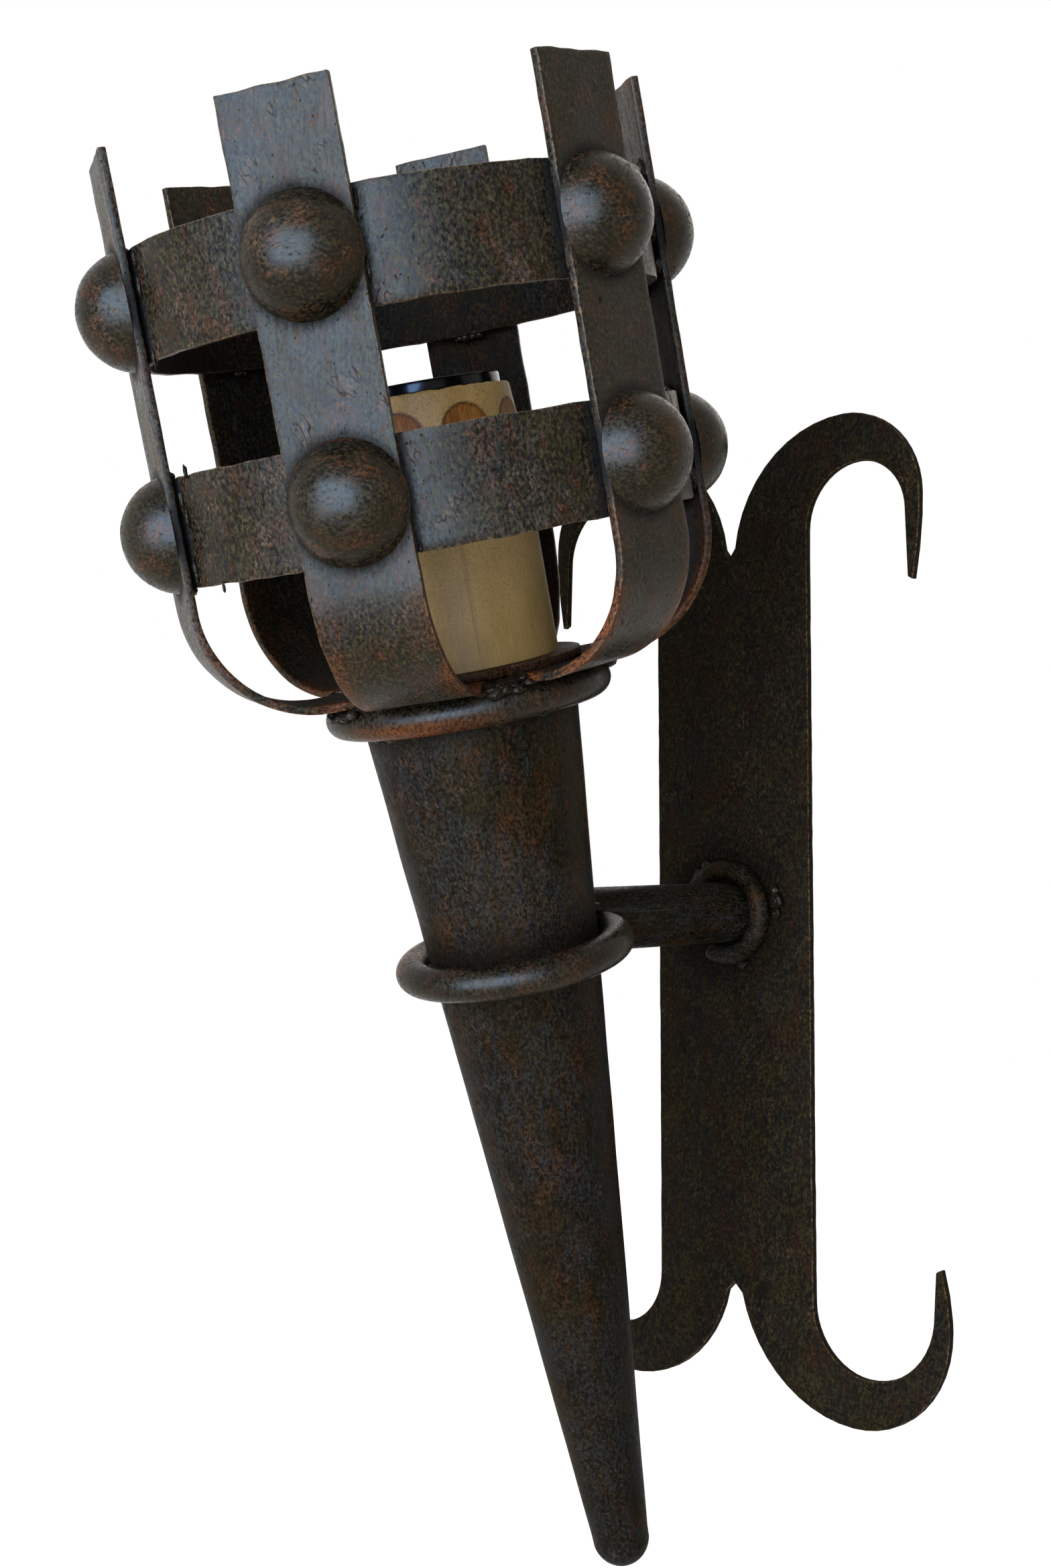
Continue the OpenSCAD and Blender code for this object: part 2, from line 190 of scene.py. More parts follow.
def at(turn, radius, level):
    """A place round the torch: +X outwards, +Y round it, +Z up along it."""
    return Matrix.Rotation(math.radians(turn - 90), 4, "Z") @ Matrix.Translation((radius, 0, level))


def cone_radius(sizes, level):
    """Outside radius of the tapered tube at a level along the torch."""
    slope = (sizes.mouth_radius - sizes.cone_end_radius) / sizes.cone_length
    return sizes.mouth_radius - (sizes.mouth_up - level) * slope


def marks(point, size, depth, shift=0):
    """Height of a shallow uneven surface at a point; size is the distance from mark to mark."""
    return depth * noise.noise(point / size + Vector((shift, 0, 0)))


def near(value, middle, reach):
    """1 at the middle, falling to 0 at a reach from it."""
    return max(0.0, 1 - abs(value - middle) / reach)


# ---- from a drawing to a piece ----


def piece(name, bm, material, body=FITTING, stands_for=(), sharp=40, inside=None):
    """Makes the finished mesh a piece of the light, at the origin, on its body.

    The faces that look into the basket, marked 1, take the second material.
    """
    mesh = bpy.data.meshes.new(name)
    bm.to_mesh(mesh)
    bm.free()
    mesh.shade_smooth()
    mesh.set_sharp_from_angle(angle=math.radians(sharp))
    for finish in (material, inside):
        if finish:
            mesh.materials.append(finish)
    obj = bpy.data.objects.new(name, mesh)
    bpy.context.scene.collection.objects.link(obj)
    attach(obj, body)
    if stands_for:
        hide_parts(*stands_for)
    return obj


def note(bm, *labels):
    """New readings on the points, from 0 to 1, that the finishes look up by these labels."""
    return [bm.verts.layers.float.new(label) for label in labels]


def note_grain(bm, turned=Matrix()):
    """Keeps on each point where it lies in the grain: across, deep and along the brushing, in metres."""
    grain = bm.verts.layers.float_vector.new("grain")
    for v in bm.verts:
        v[grain] = turned @ v.co


def softened(node, edge, crease=35, apart=0.002 * MM, flat=0.5):
    """A merged copy of a solid with its edges rounded, and the middle of each rounding noted as worn.

    Points less than apart from each other are one, and faces within flat degrees are one face. Edges
    sharper than crease degrees are rounded.
    """
    bm = bmesh.new()
    bm.from_mesh(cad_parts[node].data)
    bmesh.ops.remove_doubles(bm, verts=bm.verts, dist=apart)
    bmesh.ops.dissolve_limit(bm, angle_limit=math.radians(flat), verts=bm.verts, edges=bm.edges)
    (worn,) = note(bm, "worn")
    sharp = [e for e in bm.edges if len(e.link_faces) == 2 and e.calc_face_angle() > math.radians(crease)]
    if sharp and edge:
        made = bmesh.ops.bevel(
            bm, geom=sharp, offset=edge, segments=2, profile=0.5, affect="EDGES", material=-1, clamp_overlap=True
        )
        rounding = set(made["faces"])
        for v in made["verts"]:
            if all(f in rounding for f in v.link_faces):
                v[worn] = 1.0
    return bm


def section(bm, outline, closed=True):
    """Draws a section through the torch's axis, from points of radius and height, to be spun."""
    dots = [bm.verts.new((radius, 0, level)) for radius, level in outline]
    return dots + [bm.edges.new(pair) for pair in zip(dots, dots[1:] + dots[: int(closed)])]


def spin_round(bm, drawn, steps):
    """Spins a closed section once round the torch's axis, and turns its faces outwards."""
    bmesh.ops.spin(
        bm, geom=drawn, cent=(0, 0, 0), axis=(0, 0, 1), angle=math.tau, steps=steps, use_merge=True
    )
    bmesh.ops.recalc_face_normals(bm, faces=bm.faces)


# ---- finishes ----


def add(tree, kind, inputs=None, out=0, **settings):
    """Adds a node with its settings, joins or sets its inputs, and returns the output that is asked for."""
    made = tree.nodes.new(kind)
    for key, value in settings.items():
        setattr(made, key, value)
    for key, value in (inputs or {}).items():
        if isinstance(value, bpy.types.NodeSocket):
            tree.links.new(value, made.inputs[key])
        else:
            made.inputs[key].default_value = value
    return made.outputs[out]


def start_material(name):
    """An empty material with its tree."""
    material = bpy.data.materials.new(name)
    material.use_nodes = True
    material.node_tree.nodes.clear()
    return material, material.node_tree


def close_material(tree, **surface):
    """Ends a tree in one surface shader."""
    shader = add(tree, "ShaderNodeBsdfPrincipled", {k.replace("_", " "): v for k, v in surface.items()})
    tree.links.new(shader, tree.nodes.new("ShaderNodeOutputMaterial").inputs["Surface"])


def pattern(tree, where, size, detail, turn=0.0, grit=0.5):
    """An uneven pattern of a size in millimetres, across, deep and along, turned about the depth."""
    place = add(
        tree, "ShaderNodeMapping",
        {"Vector": where, "Rotation": (0, turn, 0), "Scale": [mm * MM for mm in size]}, vector_type="TEXTURE",
    )
    settings = {"Vector": place, "Scale": 1.0, "Detail": detail, "Roughness": grit}
    return add(tree, "ShaderNodeTexNoise", settings, out="Fac")


def layered(tree, colour, layers):
    """Lays each paint over the colour, by the product of its shares."""
    for paint, amount, *shares in layers:
        for share in shares:
            amount = add(tree, "ShaderNodeMath", {0: amount, 1: share}, operation="MULTIPLY", use_clamp=True)
        colour = add(tree, "ShaderNodeMix", {0: amount, 6: colour, 7: paint[:]}, out=2, data_type="RGBA")
    return colour


# Shares of the rubbed colours, then the roughness and gloss. The last settings are for some finishes
# alone: the length of the streaks in millimetres, the share of black lacquer drawn over them, how far
# the painted shade round the arm's foot reaches on the plate, and the tint of the gloss.
IRON_FINISHES = {
    # Flat bar of the basket: the most rubbed, with a silvery blue-grey sheen
    "Lacquered flat bar": dict(
        brown=0.45, olive=0.65, rust=0.4, copper=0.16, grey=0.1, pale=0.22, rough=0.24, gloss=0.14
    ),
    # Flat bar on the side that looks into the basket: never rubbed and dull, and darkened as painted shade
    "Dull lacquer in painted shade inside the basket": dict(
        brown=0.3, olive=0.25, rust=0.2, copper=0.08, grey=0.1, pale=0.05, edge=0.2, rough=0.5, gloss=0.03
    ),
    # Flame-cut plate: matt, the darkest, with upright brush streaks in olive, brown and blue-black, and painted
    # shade round the arm's foot
    "Lacquered wall plate": dict(
        brown=0.35, olive=0.45, rust=0.15, copper=0.08, grey=0.08, pale=0.06, edge=0.45, rough=0.6, gloss=0.05,
        streak=16, soot=0.6, pooled=24 * MM, sheen="#ffd8a4",
    ),
    # Rolled taper and tube: smooth satin with soft brown and olive clouds and a cool column of light; its large
    # share of graphite grey is partly rub and partly a painted cool sheen
    "Lacquered tube": dict(
        brown=0.5, olive=0.3, rust=0.26, copper=0.04, grey=0.35, pale=0.08, rough=0.32, gloss=0.05, streak=9,
        soot=0.7, sheen="#ffcf90",
    ),
    # Bent round bar: smooth lacquer, glossier, rusty on its underside
    "Lacquered round bar": dict(
        brown=0.45, olive=0.3, rust=0.25, copper=0.1, grey=0.05, pale=0.05, rough=0.2, gloss=0.15, soot=0.3
    ),
    # Pressed domes: dark brown satin with rust clouds and a broad cool highlight
    "Lacquered dome": dict(
        brown=0.3, olive=0.4, rust=0.45, copper=0.25, grey=0.0, pale=0.05, rough=0.17, gloss=0.16, streak=4
    ),
}


def lacquered_iron(name, finish):
    """Mild steel under black-brown lacquer, rubbed by hand with copper, olive and graphite.

    To the eye: nearly black in the shade, clouded brown, olive and rust, with a fine broken speckle, curved
    brush hairs, small dark pits, copper where it is handled, and a cool broken sheen towards the window.
    """
    if name in bpy.data.materials:
        return bpy.data.materials[name]
    look = {"edge": 0.5, "streak": 7.0, "soot": 0.0, "pooled": 0.0, "sheen": "#ffe8c4", **IRON_FINISHES[name]}
    material, tree = start_material(name)
    grain = add(tree, "ShaderNodeAttribute", out="Vector", attribute_name="grain")
    worn, painted_shade_and_fade, rusty = (
        add(tree, "ShaderNodeAttribute", out="Fac", attribute_name=label) for label in ("worn", "painted_shade_and_fade", "rusty")
    )
    # On the plate, painted shade round the arm's foot, fading out from 12 mm to the reach given
    if look["pooled"]:
        spread = add(tree, "ShaderNodeVectorMath", {0: grain}, out="Value", operation="LENGTH")
        painted_shade_and_fade = add(
            tree, "ShaderNodeMapRange",
            {"Value": spread, "From Min": 12 * MM, "From Max": look["pooled"], "To Min": 0.9, "To Max": 0},
        )
    # The strokes of a hand-held brush curve, so the grain is bent by up to 2 mm over some 16 mm
    drift = add(tree, "ShaderNodeTexNoise", {"Vector": grain, "Scale": 1 / (16 * MM), "Detail": 1}, out="Color")
    bent = add(tree, "ShaderNodeVectorMath", {0: drift, 1: (0.5,) * 3}, operation="SUBTRACT")
    bent = add(tree, "ShaderNodeVectorMath", {0: bent, 1: (4 * MM,) * 3, 2: grain}, operation="MULTIPLY_ADD")
    # Size in millimetres across, deep and along the brushing, turn about the depth, detail, and the two
    # noise values between which it fades in. Pigment grit is finer than 0.1 mm; it is drawn at 0.7 mm to show.
    streak = look["streak"]
    field, level = {}, {}
    for label, size, turn, detail, low, high in (
        ("cloud", (12, 12, 16), 0.0, 3, 0.42, 0.6),
        ("tint", (6, 6, 10), 0.0, 5, 0.5, 0.62),
        ("patch", (8, 8, 10), 0.4, 5, 0.54, 0.66),
        ("swell", (17, 17, 24), 0.0, 2, 0.38, 0.6),
        ("fleck", (0.8, 0.8, 1.3), 0.3, 5, 0.44, 0.58),
        ("speck", (0.7, 0.7, 0.9), 0.0, 4, 0.36, 0.64),
        ("streak", (0.7, 0.7, streak), 0.1, 4, 0.45, 0.62),
        ("counter", (0.5, 0.5, streak * 0.6), -0.7, 3, 0.52, 0.68),
        ("pit", (0.9, 0.9, 1.5), 0.2, 1, 0.68, 0.74),
    ):
        where = bent if label in ("streak", "counter") else grain
        field[label] = pattern(tree, where, size, detail, turn, grit=0.62)
        level[label] = add(
            tree, "ShaderNodeMapRange", {"Value": field[label], "From Min": low, "From Max": high},
            interpolation_type="SMOOTHSTEP",
        )
    # Brush hairs lie on the ridge where a stretched noise passes its middle, and break where another is low
    hairs = []
    for turn, long, breaks in ((0.45, 7.0, "tint"), (-0.5, 5.0, "patch")):
        ridge = pattern(tree, bent, (1.3, 1.3, long), 0, turn)
        ridge = add(tree, "ShaderNodeMath", {0: ridge, 1: 0.5}, operation="SUBTRACT")
        ridge = add(tree, "ShaderNodeMath", {0: ridge}, operation="ABSOLUTE")
        ridge = add(tree, "ShaderNodeMapRange", {"Value": ridge, "From Max": 0.06, "To Min": 1.0, "To Max": 0.0})
        broken = add(tree, "ShaderNodeMapRange", {"Value": field[breaks], "From Min": 0.54, "From Max": 0.62})
        hairs.append(add(tree, "ShaderNodeMath", {0: ridge, 1: broken}, operation="MULTIPLY"))
    pale_hairs, dark_hairs = hairs
    # Where the hand rubbed graphite on, and where the brush left pale lines: the most of several patterns
    rubbed = []
    for parts in (
        ((level["streak"], 1.0), (level["counter"], 0.7)),
        ((level["counter"], 0.4), (level["patch"], 0.5), (pale_hairs, 0.6)),
    ):
        most = 0.0
        for part, share in parts:
            part = add(tree, "ShaderNodeMath", {0: part, 1: share}, operation="MULTIPLY")
            most = add(tree, "ShaderNodeMath", {0: most, 1: part}, operation="MAXIMUM")
        rubbed.append(most)
    graphite, lines = rubbed
    no_tint, no_fleck = (
        add(tree, "ShaderNodeMath", {0: 1.0, 1: level[label]}, operation="SUBTRACT", use_clamp=True)
        for label in ("tint", "fleck")
    )
    uneven_rust = add(tree, "ShaderNodeMath", {0: field["patch"], 1: 0.2}, operation="ADD")
    ragged = add(tree, "ShaderNodeMath", {0: level["fleck"], 1: 0.3}, operation="ADD", use_clamp=True)
    colour = layered(tree, finish.ground[:], (
        (finish.brown, level["cloud"], look["brown"]),
        (finish.olive, no_tint, level["fleck"], look["olive"]),
        (finish.rust, level["tint"], no_fleck, look["rust"]),
        (finish.grey, graphite, level["swell"], look["grey"]),
        (finish.copper, level["patch"], level["fleck"], look["copper"]),
        (finish.ground, level["swell"], level["streak"], look["soot"]),
        (finish.bloom, rusty, uneven_rust),
        (finish.pale, lines, level["speck"], look["pale"]),
        (finish.ground, dark_hairs, 0.8),
        (finish.edge, worn, ragged, look["edge"]),
        (finish.ground, level["pit"], 0.6),
        # Painted shade by the studs, straps, rings and arm, and darker towards the taper's tip
        (finish.ground, painted_shade_and_fade, 0.85),
    ))
    uneven = add(tree, "ShaderNodeMapRange", {"Value": level["speck"], "To Min": 0.2, "To Max": 1.3})
    colour = add(tree, "ShaderNodeHueSaturation", {"Color": colour, "Value": uneven})
    # Grit breaks the gloss up, and pits, dark hairs, streaks, clouds and the painted shade dull it
    least, most = look["rough"] - 0.12, look["rough"] + 0.36
    dull = add(
        tree, "ShaderNodeMapRange",
        {"Value": field["speck"], "From Min": 0.3, "From Max": 0.7, "To Min": least, "To Max": most},
    )
    for spot, amount in (
        (level["pit"], 0.5), (dark_hairs, 0.4), (level["streak"], 0.12), (level["cloud"], 0.08), (painted_shade_and_fade, 0.4),
    ):
        dull = add(tree, "ShaderNodeMath", {0: spot, 1: amount, 2: dull}, operation="MULTIPLY_ADD")
    relief = add(
        tree, "ShaderNodeMath", {0: level["speck"], 1: 0.6, 2: field["streak"]}, operation="MULTIPLY_ADD"
    )
    for dip in (dark_hairs, level["pit"]):
        relief = add(tree, "ShaderNodeMath", {0: relief, 1: dip}, operation="SUBTRACT")
    normal = None
    for height, strength, distance in ((relief, 0.25, 0.04 * MM), (field["patch"], 0.1, 0.5 * MM)):
        below = {"Normal": normal} if normal else {}
        normal = add(
            tree, "ShaderNodeBump", {"Height": height, "Strength": strength, "Distance": distance, **below},
            out="Normal",
        )
    close_material(
        tree, Base_Color=colour, Roughness=dull, Specular_IOR_Level=look["gloss"],
        Specular_Tint=linear(look["sheen"]), Normal=normal,
    )
    return material


def pooled_lacquer(finish):
    """Weld metal under pooled lacquer: black and knobbly, with small white glints."""
    material, tree = start_material("Pooled black lacquer on weld")
    where = add(tree, "ShaderNodeTexCoord", out="Object")
    knob, fleck = (
        add(tree, "ShaderNodeTexNoise", {"Vector": where, "Scale": 1 / (mm * MM), "Detail": detail}, out="Fac")
        for mm, detail in ((1.3, 3), (0.4, 2))
    )
    spot = add(tree, "ShaderNodeMapRange", {"Value": fleck, "From Min": 0.55, "From Max": 0.7})
    colour = layered(tree, finish.weld[:], ((finish.brown, spot),))
    normal = add(tree, "ShaderNodeBump", {"Height": knob, "Strength": 0.8, "Distance": 0.6 * MM}, out="Normal")
    close_material(
        tree, Base_Color=colour, Roughness=0.24, Specular_IOR_Level=0.09, Specular_Tint=linear("#ffe0b0"),
        Normal=normal,
    )
    return material


def aged_paint(finish):
    """Brushed cream paint on thin sheet, aged: warm, speckled, darker low down in painted shade, amber in the
    dimples.
    """
    material, tree = start_material("Aged cream paint")
    grain = add(tree, "ShaderNodeAttribute", out="Vector", attribute_name="grain")
    dimple, outline, low, seam = (
        add(tree, "ShaderNodeAttribute", out="Fac", attribute_name=label)
        for label in ("dimple", "outline", "low", "seam")
    )
    speck, drag, cloud = (
        pattern(tree, grain, size, detail)
        for size, detail in (((0.5, 0.5, 0.6), 4), ((0.5, 0.5, 9), 3), ((9, 9, 14), 3))
    )
    wash = add(tree, "ShaderNodeMapRange", {"Value": drag, "From Min": 0.2, "From Max": 0.62})
    stain = add(tree, "ShaderNodeMath", {0: dimple, 1: wash}, operation="MULTIPLY")
    # Paint, what it follows, the two values between which it fades in, its most, and the only place it has
    layers = []
    for paint, source, first, last, most, *only in (
        (linear("#b8924c"), cloud, 0.4, 0.65, 0.6),  # warmer clouds
        (linear("#a0906a"), speck, 0.5, 0.62, 0.6),  # grey-olive specks
        (linear("#5b4a26"), speck, 0.5, 0.34, 0.5),  # dark specks
        (linear("#a08a56"), low, 0.0, 1.0, 0.75),  # painted shade towards the foot, inside the basket
        (linear("#d4bd88"), drag, 0.52, 0.7, 0.3),  # pale brush lines
        (finish.amber, stain, 0.05, 0.5, 0.95),
        (linear("#c08a44"), drag, 0.45, 0.6, 0.7, dimple),  # brush lines in the stain
        (linear("#2e1a0a"), outline, 0.0, 1.0, 0.85),  # painted shade round the edge of each dimple
        (linear("#2c2010"), drag, 0.4, 0.6, 0.7, seam),  # broken dark line along the seam
    ):
        amount = add(
            tree, "ShaderNodeMapRange", {"Value": source, "From Min": first, "From Max": last, "To Max": most}
        )
        layers.append((paint, amount, *only))
    colour = layered(tree, finish.cream[:], layers)
    normal = add(tree, "ShaderNodeBump", {"Height": speck, "Strength": 0.4, "Distance": 0.06 * MM}, out="Normal")
    close_material(tree, Base_Color=colour, Roughness=0.5, Specular_IOR_Level=0.08, Normal=normal)
    return material


# Two colours, roughness, metallic, size of the drawn lines in millimetres, and gloss
PLAIN_FINISHES = {
    # Moulded phenolic plastic: deep gloss black, faint flow lines
    "Moulded black phenolic": ("#08080a", "#101012", 0.16, 0.0, (3, 3, 9), 0.12),
    # Brass strip, rolled and pressed: warm yellow metal with fine drawn lines
    "Rolled brass": ("#b5893c", "#94692a", 0.3, 1.0, (0.5, 0.5, 4), 0.5),
    # Porcelain under a clear glaze: off-white and glossy, softly clouded
    "Glazed porcelain": ("#ddd8cb", "#cfc8b6", 0.25, 0.0, (4, 4, 4), 0.5),
    # Turned steel with a thin zinc coat: cool grey and satin
    "Zinc-plated steel": ("#9a9a9c", "#7f8083", 0.38, 1.0, (0.6, 0.6, 3), 0.5),
    # Extruded PVC: even and slightly waxy, in the colours of a fixed lead
    "PVC insulation live_lead": ("#6b4423", "#5c391c", 0.4, 0.0, (3, 12, 3), 0.5),
    "PVC insulation neutral_lead": ("#3f6fae", "#36629c", 0.4, 0.0, (3, 12, 3), 0.5),
    "PVC insulation earth_lead": ("#7fa23c", "#c9b93a", 0.4, 0.0, (3, 12, 3), 0.5),
}


def plain_finish(name, chosen=None):
    """A small half-hidden piece: one colour, or the chosen one, with a second in fine drawn lines."""
    if name in bpy.data.materials:
        return bpy.data.materials[name]
    first, second, rough, metallic, size, gloss = PLAIN_FINISHES[name]
    material, tree = start_material(name)
    lines = pattern(tree, add(tree, "ShaderNodeTexCoord", out="Object"), size, 4)
    amount = add(tree, "ShaderNodeMapRange", {"Value": lines, "From Min": 0.4, "From Max": 0.65})
    mixed = layered(tree, chosen or linear(first), ((linear(second), amount),))
    dull = add(tree, "ShaderNodeMapRange", {"Value": lines, "To Min": rough - 0.06, "To Max": rough + 0.08})
    normal = add(tree, "ShaderNodeBump", {"Height": lines, "Strength": 0.3, "Distance": 0.02 * MM}, out="Normal")
    close_material(
        tree, Base_Color=mixed, Roughness=dull, Metallic=metallic, Specular_IOR_Level=gloss, Normal=normal
    )
    return material


class TorchStep:
    """What every step of the light shares"""

    bl_options = {"REGISTER", "UNDO"}

    @staticmethod
    def settings(context):
        s = context.scene.torch_light
        return s.sizes, s.wear, s.finish


# ---- plate, arm and collar ----


class TORCH_OT_wall_plate(TorchStep, bpy.types.Operator):
    """Add the wall plate, cut into four horns, with its cut edges softened"""

    bl_idname = "torch.wall_plate"
    bl_label = "Wall plate"

    def execute(self, context):
        sizes, wear, finish = self.settings(context)
        long_edge, from_middle, fade = 40 * MM, 25 * MM, 8 * MM
        bm = softened("back_plate", wear.edge)
        # The cutting torch wandered along the two upright sides, less towards their ends
        upright = [e for e in bm.edges if abs(e.verts[0].co.z - e.verts[1].co.z) > long_edge]
        bmesh.ops.subdivide_edges(bm, edges=upright, cuts=70)
        low, high = (f(v.co.z for e in upright for v in e.verts) for f in (min, max))
        for v in bm.verts:
            if low < v.co.z < high and abs(v.co.x) > from_middle:
                side = math.copysign(1, v.co.x)
                ends = min(1.0, (v.co.z - low) / fade, (high - v.co.z) / fade)
                spot = Vector((side, 0, v.co.z))
                wave = abs(marks(spot, 7 * MM, wear.wander)) + abs(marks(spot, 2 * MM, wear.wander * 0.5))
                v.co.x -= side * ends * wave
        note_grain(bm)
        material = lacquered_iron("Lacquered wall plate", finish)
        piece("wall_plate", bm, material, stands_for=["back_plate"])
        return {"FINISHED"}


class TORCH_OT_arm(TorchStep, bpy.types.Operator):
    """Add the arm and the open collar of round rod at the plate"""

    bl_idname = "torch.arm"
    bl_label = "Arm and collar"

    def execute(self, context):
        sizes, wear, finish = self.settings(context)
        along_arm = Matrix(((1, 0, 0, 0), (0, 0, 1, 0), (0, 1, 0, 0), (0, 0, 0, 1)))
        for name, node, edge in (("arm", "arm_tube", 0), ("collar", "arm_collar", wear.edge * 2)):
            bm = softened(node, edge)
            note_grain(bm, along_arm)
            piece(name, bm, lacquered_iron("Lacquered tube", finish), stands_for=[node])
        return {"FINISHED"}


# ---- torch ----


class TORCH_OT_taper(TorchStep, bpy.types.Operator):
    """Add the tapered tube, spun from its wall's outline, and its rounded tip"""

    bl_idname = "torch.taper"
    bl_label = "Tapered tube and tip"

    def execute(self, context):
        sizes, _, finish = self.settings(context)
        material = lacquered_iron("Lacquered tube", finish)
        top, foot, rows = sizes.mouth_up, sizes.mouth_up - sizes.cone_length, 72
        levels = [foot + (top - foot) * i / rows for i in range(rows + 1)]
        outline = [(cone_radius(sizes, level), level) for level in levels]
        outline += [(sizes.mouth_radius - sizes.cone_wall, top), (sizes.cone_end_radius - sizes.cone_wall, foot)]
        bm = bmesh.new()
        spin_round(bm, section(bm, outline), 96)
        (painted_shade_and_fade,) = note(bm, "painted_shade_and_fade")
        # Painted shadow over the middle ring, out to 9 mm, and painted shade in the corner under the mouth ring,
        # out to
        # 3 mm; under the middle ring, the taper is a little darker towards the tip
        ring_top = sizes.ring_bar / 2 - sizes.middle_ring_down
        corner = top - sizes.ring_bar - sizes.strap_thick
        hammered = 0.12 * MM
        for v in bm.verts:
            across = Vector((v.co.x, v.co.y, 0))
            if foot + MM < v.co.z < top - MM:
                v.co -= across.normalized() * (hammered + marks(v.co, 14 * MM, hammered))
            below = (top - v.co.z) / sizes.cone_length
            shadow_over_ring = 1 - (v.co.z - ring_top) / (9 * MM) if v.co.z > ring_top else 0.1 + 0.2 * below
            v[painted_shade_and_fade] = min(1.0, max(shadow_over_ring, 0.8 * near(v.co.z, corner, 3 * MM)))
        note_grain(bm)
        bmesh.ops.transform(bm, matrix=torch_place(sizes), verts=bm.verts)
        piece("taper", bm, material, stands_for=["torch_cone"])

        bm = softened("cone_tip", 0, 60)
        # The tip is as dark as the taper's lower end
        (painted_shade_and_fade,) = note(bm, "painted_shade_and_fade")
        for v in bm.verts:
            v[painted_shade_and_fade] = 0.3
        note_grain(bm, torch_place(sizes).inverted())
        piece("tip", bm, material, stands_for=["cone_tip"])
        return {"FINISHED"}


class TORCH_OT_rings(TorchStep, bpy.types.Operator):
    """Add the mouth ring, the open middle ring and the floor of the basket"""

    bl_idname = "torch.rings"
    bl_label = "Rings and floor"

    def execute(self, context):
        sizes, wear, finish = self.settings(context)
        back = torch_place(sizes).inverted()
        centre = sizes.mouth_up - sizes.strap_thick - sizes.ring_bar / 2
        for name, node, edge, material in (
            ("mouth_bar", "mouth_ring", 0, "Lacquered round bar"),
            ("middle_bar", "middle_ring", wear.edge * 2, "Lacquered round bar"),
            ("floor_plate", "basket_floor", wear.edge, "Lacquered tube"),
        ):
            bm = softened(node, edge)
            note_grain(bm, back)
            (rusty,) = note(bm, "rusty")
            for v in bm.verts:
                spot = back @ v.co
                turn = math.degrees(math.atan2(spot.x, -spot.y))
                if node == "mouth_ring":
                    # Under the ring, and most where it faces the camera
                    underside = min(1.0, max(0.0, (centre + 0.6 * MM - spot.z) / (2 * MM)))
                    v[rusty] = underside * near(turn, 22, 42)
                elif node == "middle_ring":
                    # At the left end of what shows of the ring
                    v[rusty] = 0.8 * near(turn, -52, 26)
                else:
                    v[rusty] = 0.25
            piece(name, bm, lacquered_iron(material, finish), stands_for=[node])
        return {"FINISHED"}


# ---- basket ----


def flat_bar(long, wide, thick, edge, along, across):
    """A flat bar on its back from x = 0, with rounded edges, divided along and across."""
    bm = bmesh.new()
    shape = Matrix.Translation((long / 2, 0, thick / 2)) @ Matrix.Diagonal((long, wide, thick, 1))
    bmesh.ops.create_cube(bm, size=1, matrix=shape)
    bmesh.ops.bevel(
        bm, geom=bm.edges[:], offset=edge, segments=2, profile=0.5, affect="EDGES", material=-1, clamp_overlap=True
    )
    for axis, least, cuts in ((0, long * 0.9, along), (1, wide * 0.8, across)):
        chosen = [e for e in bm.edges if abs(e.verts[0].co[axis] - e.verts[1].co[axis]) > least]
        bmesh.ops.subdivide_edges(bm, edges=chosen, cuts=cuts, use_grid_fill=True)
    return bm


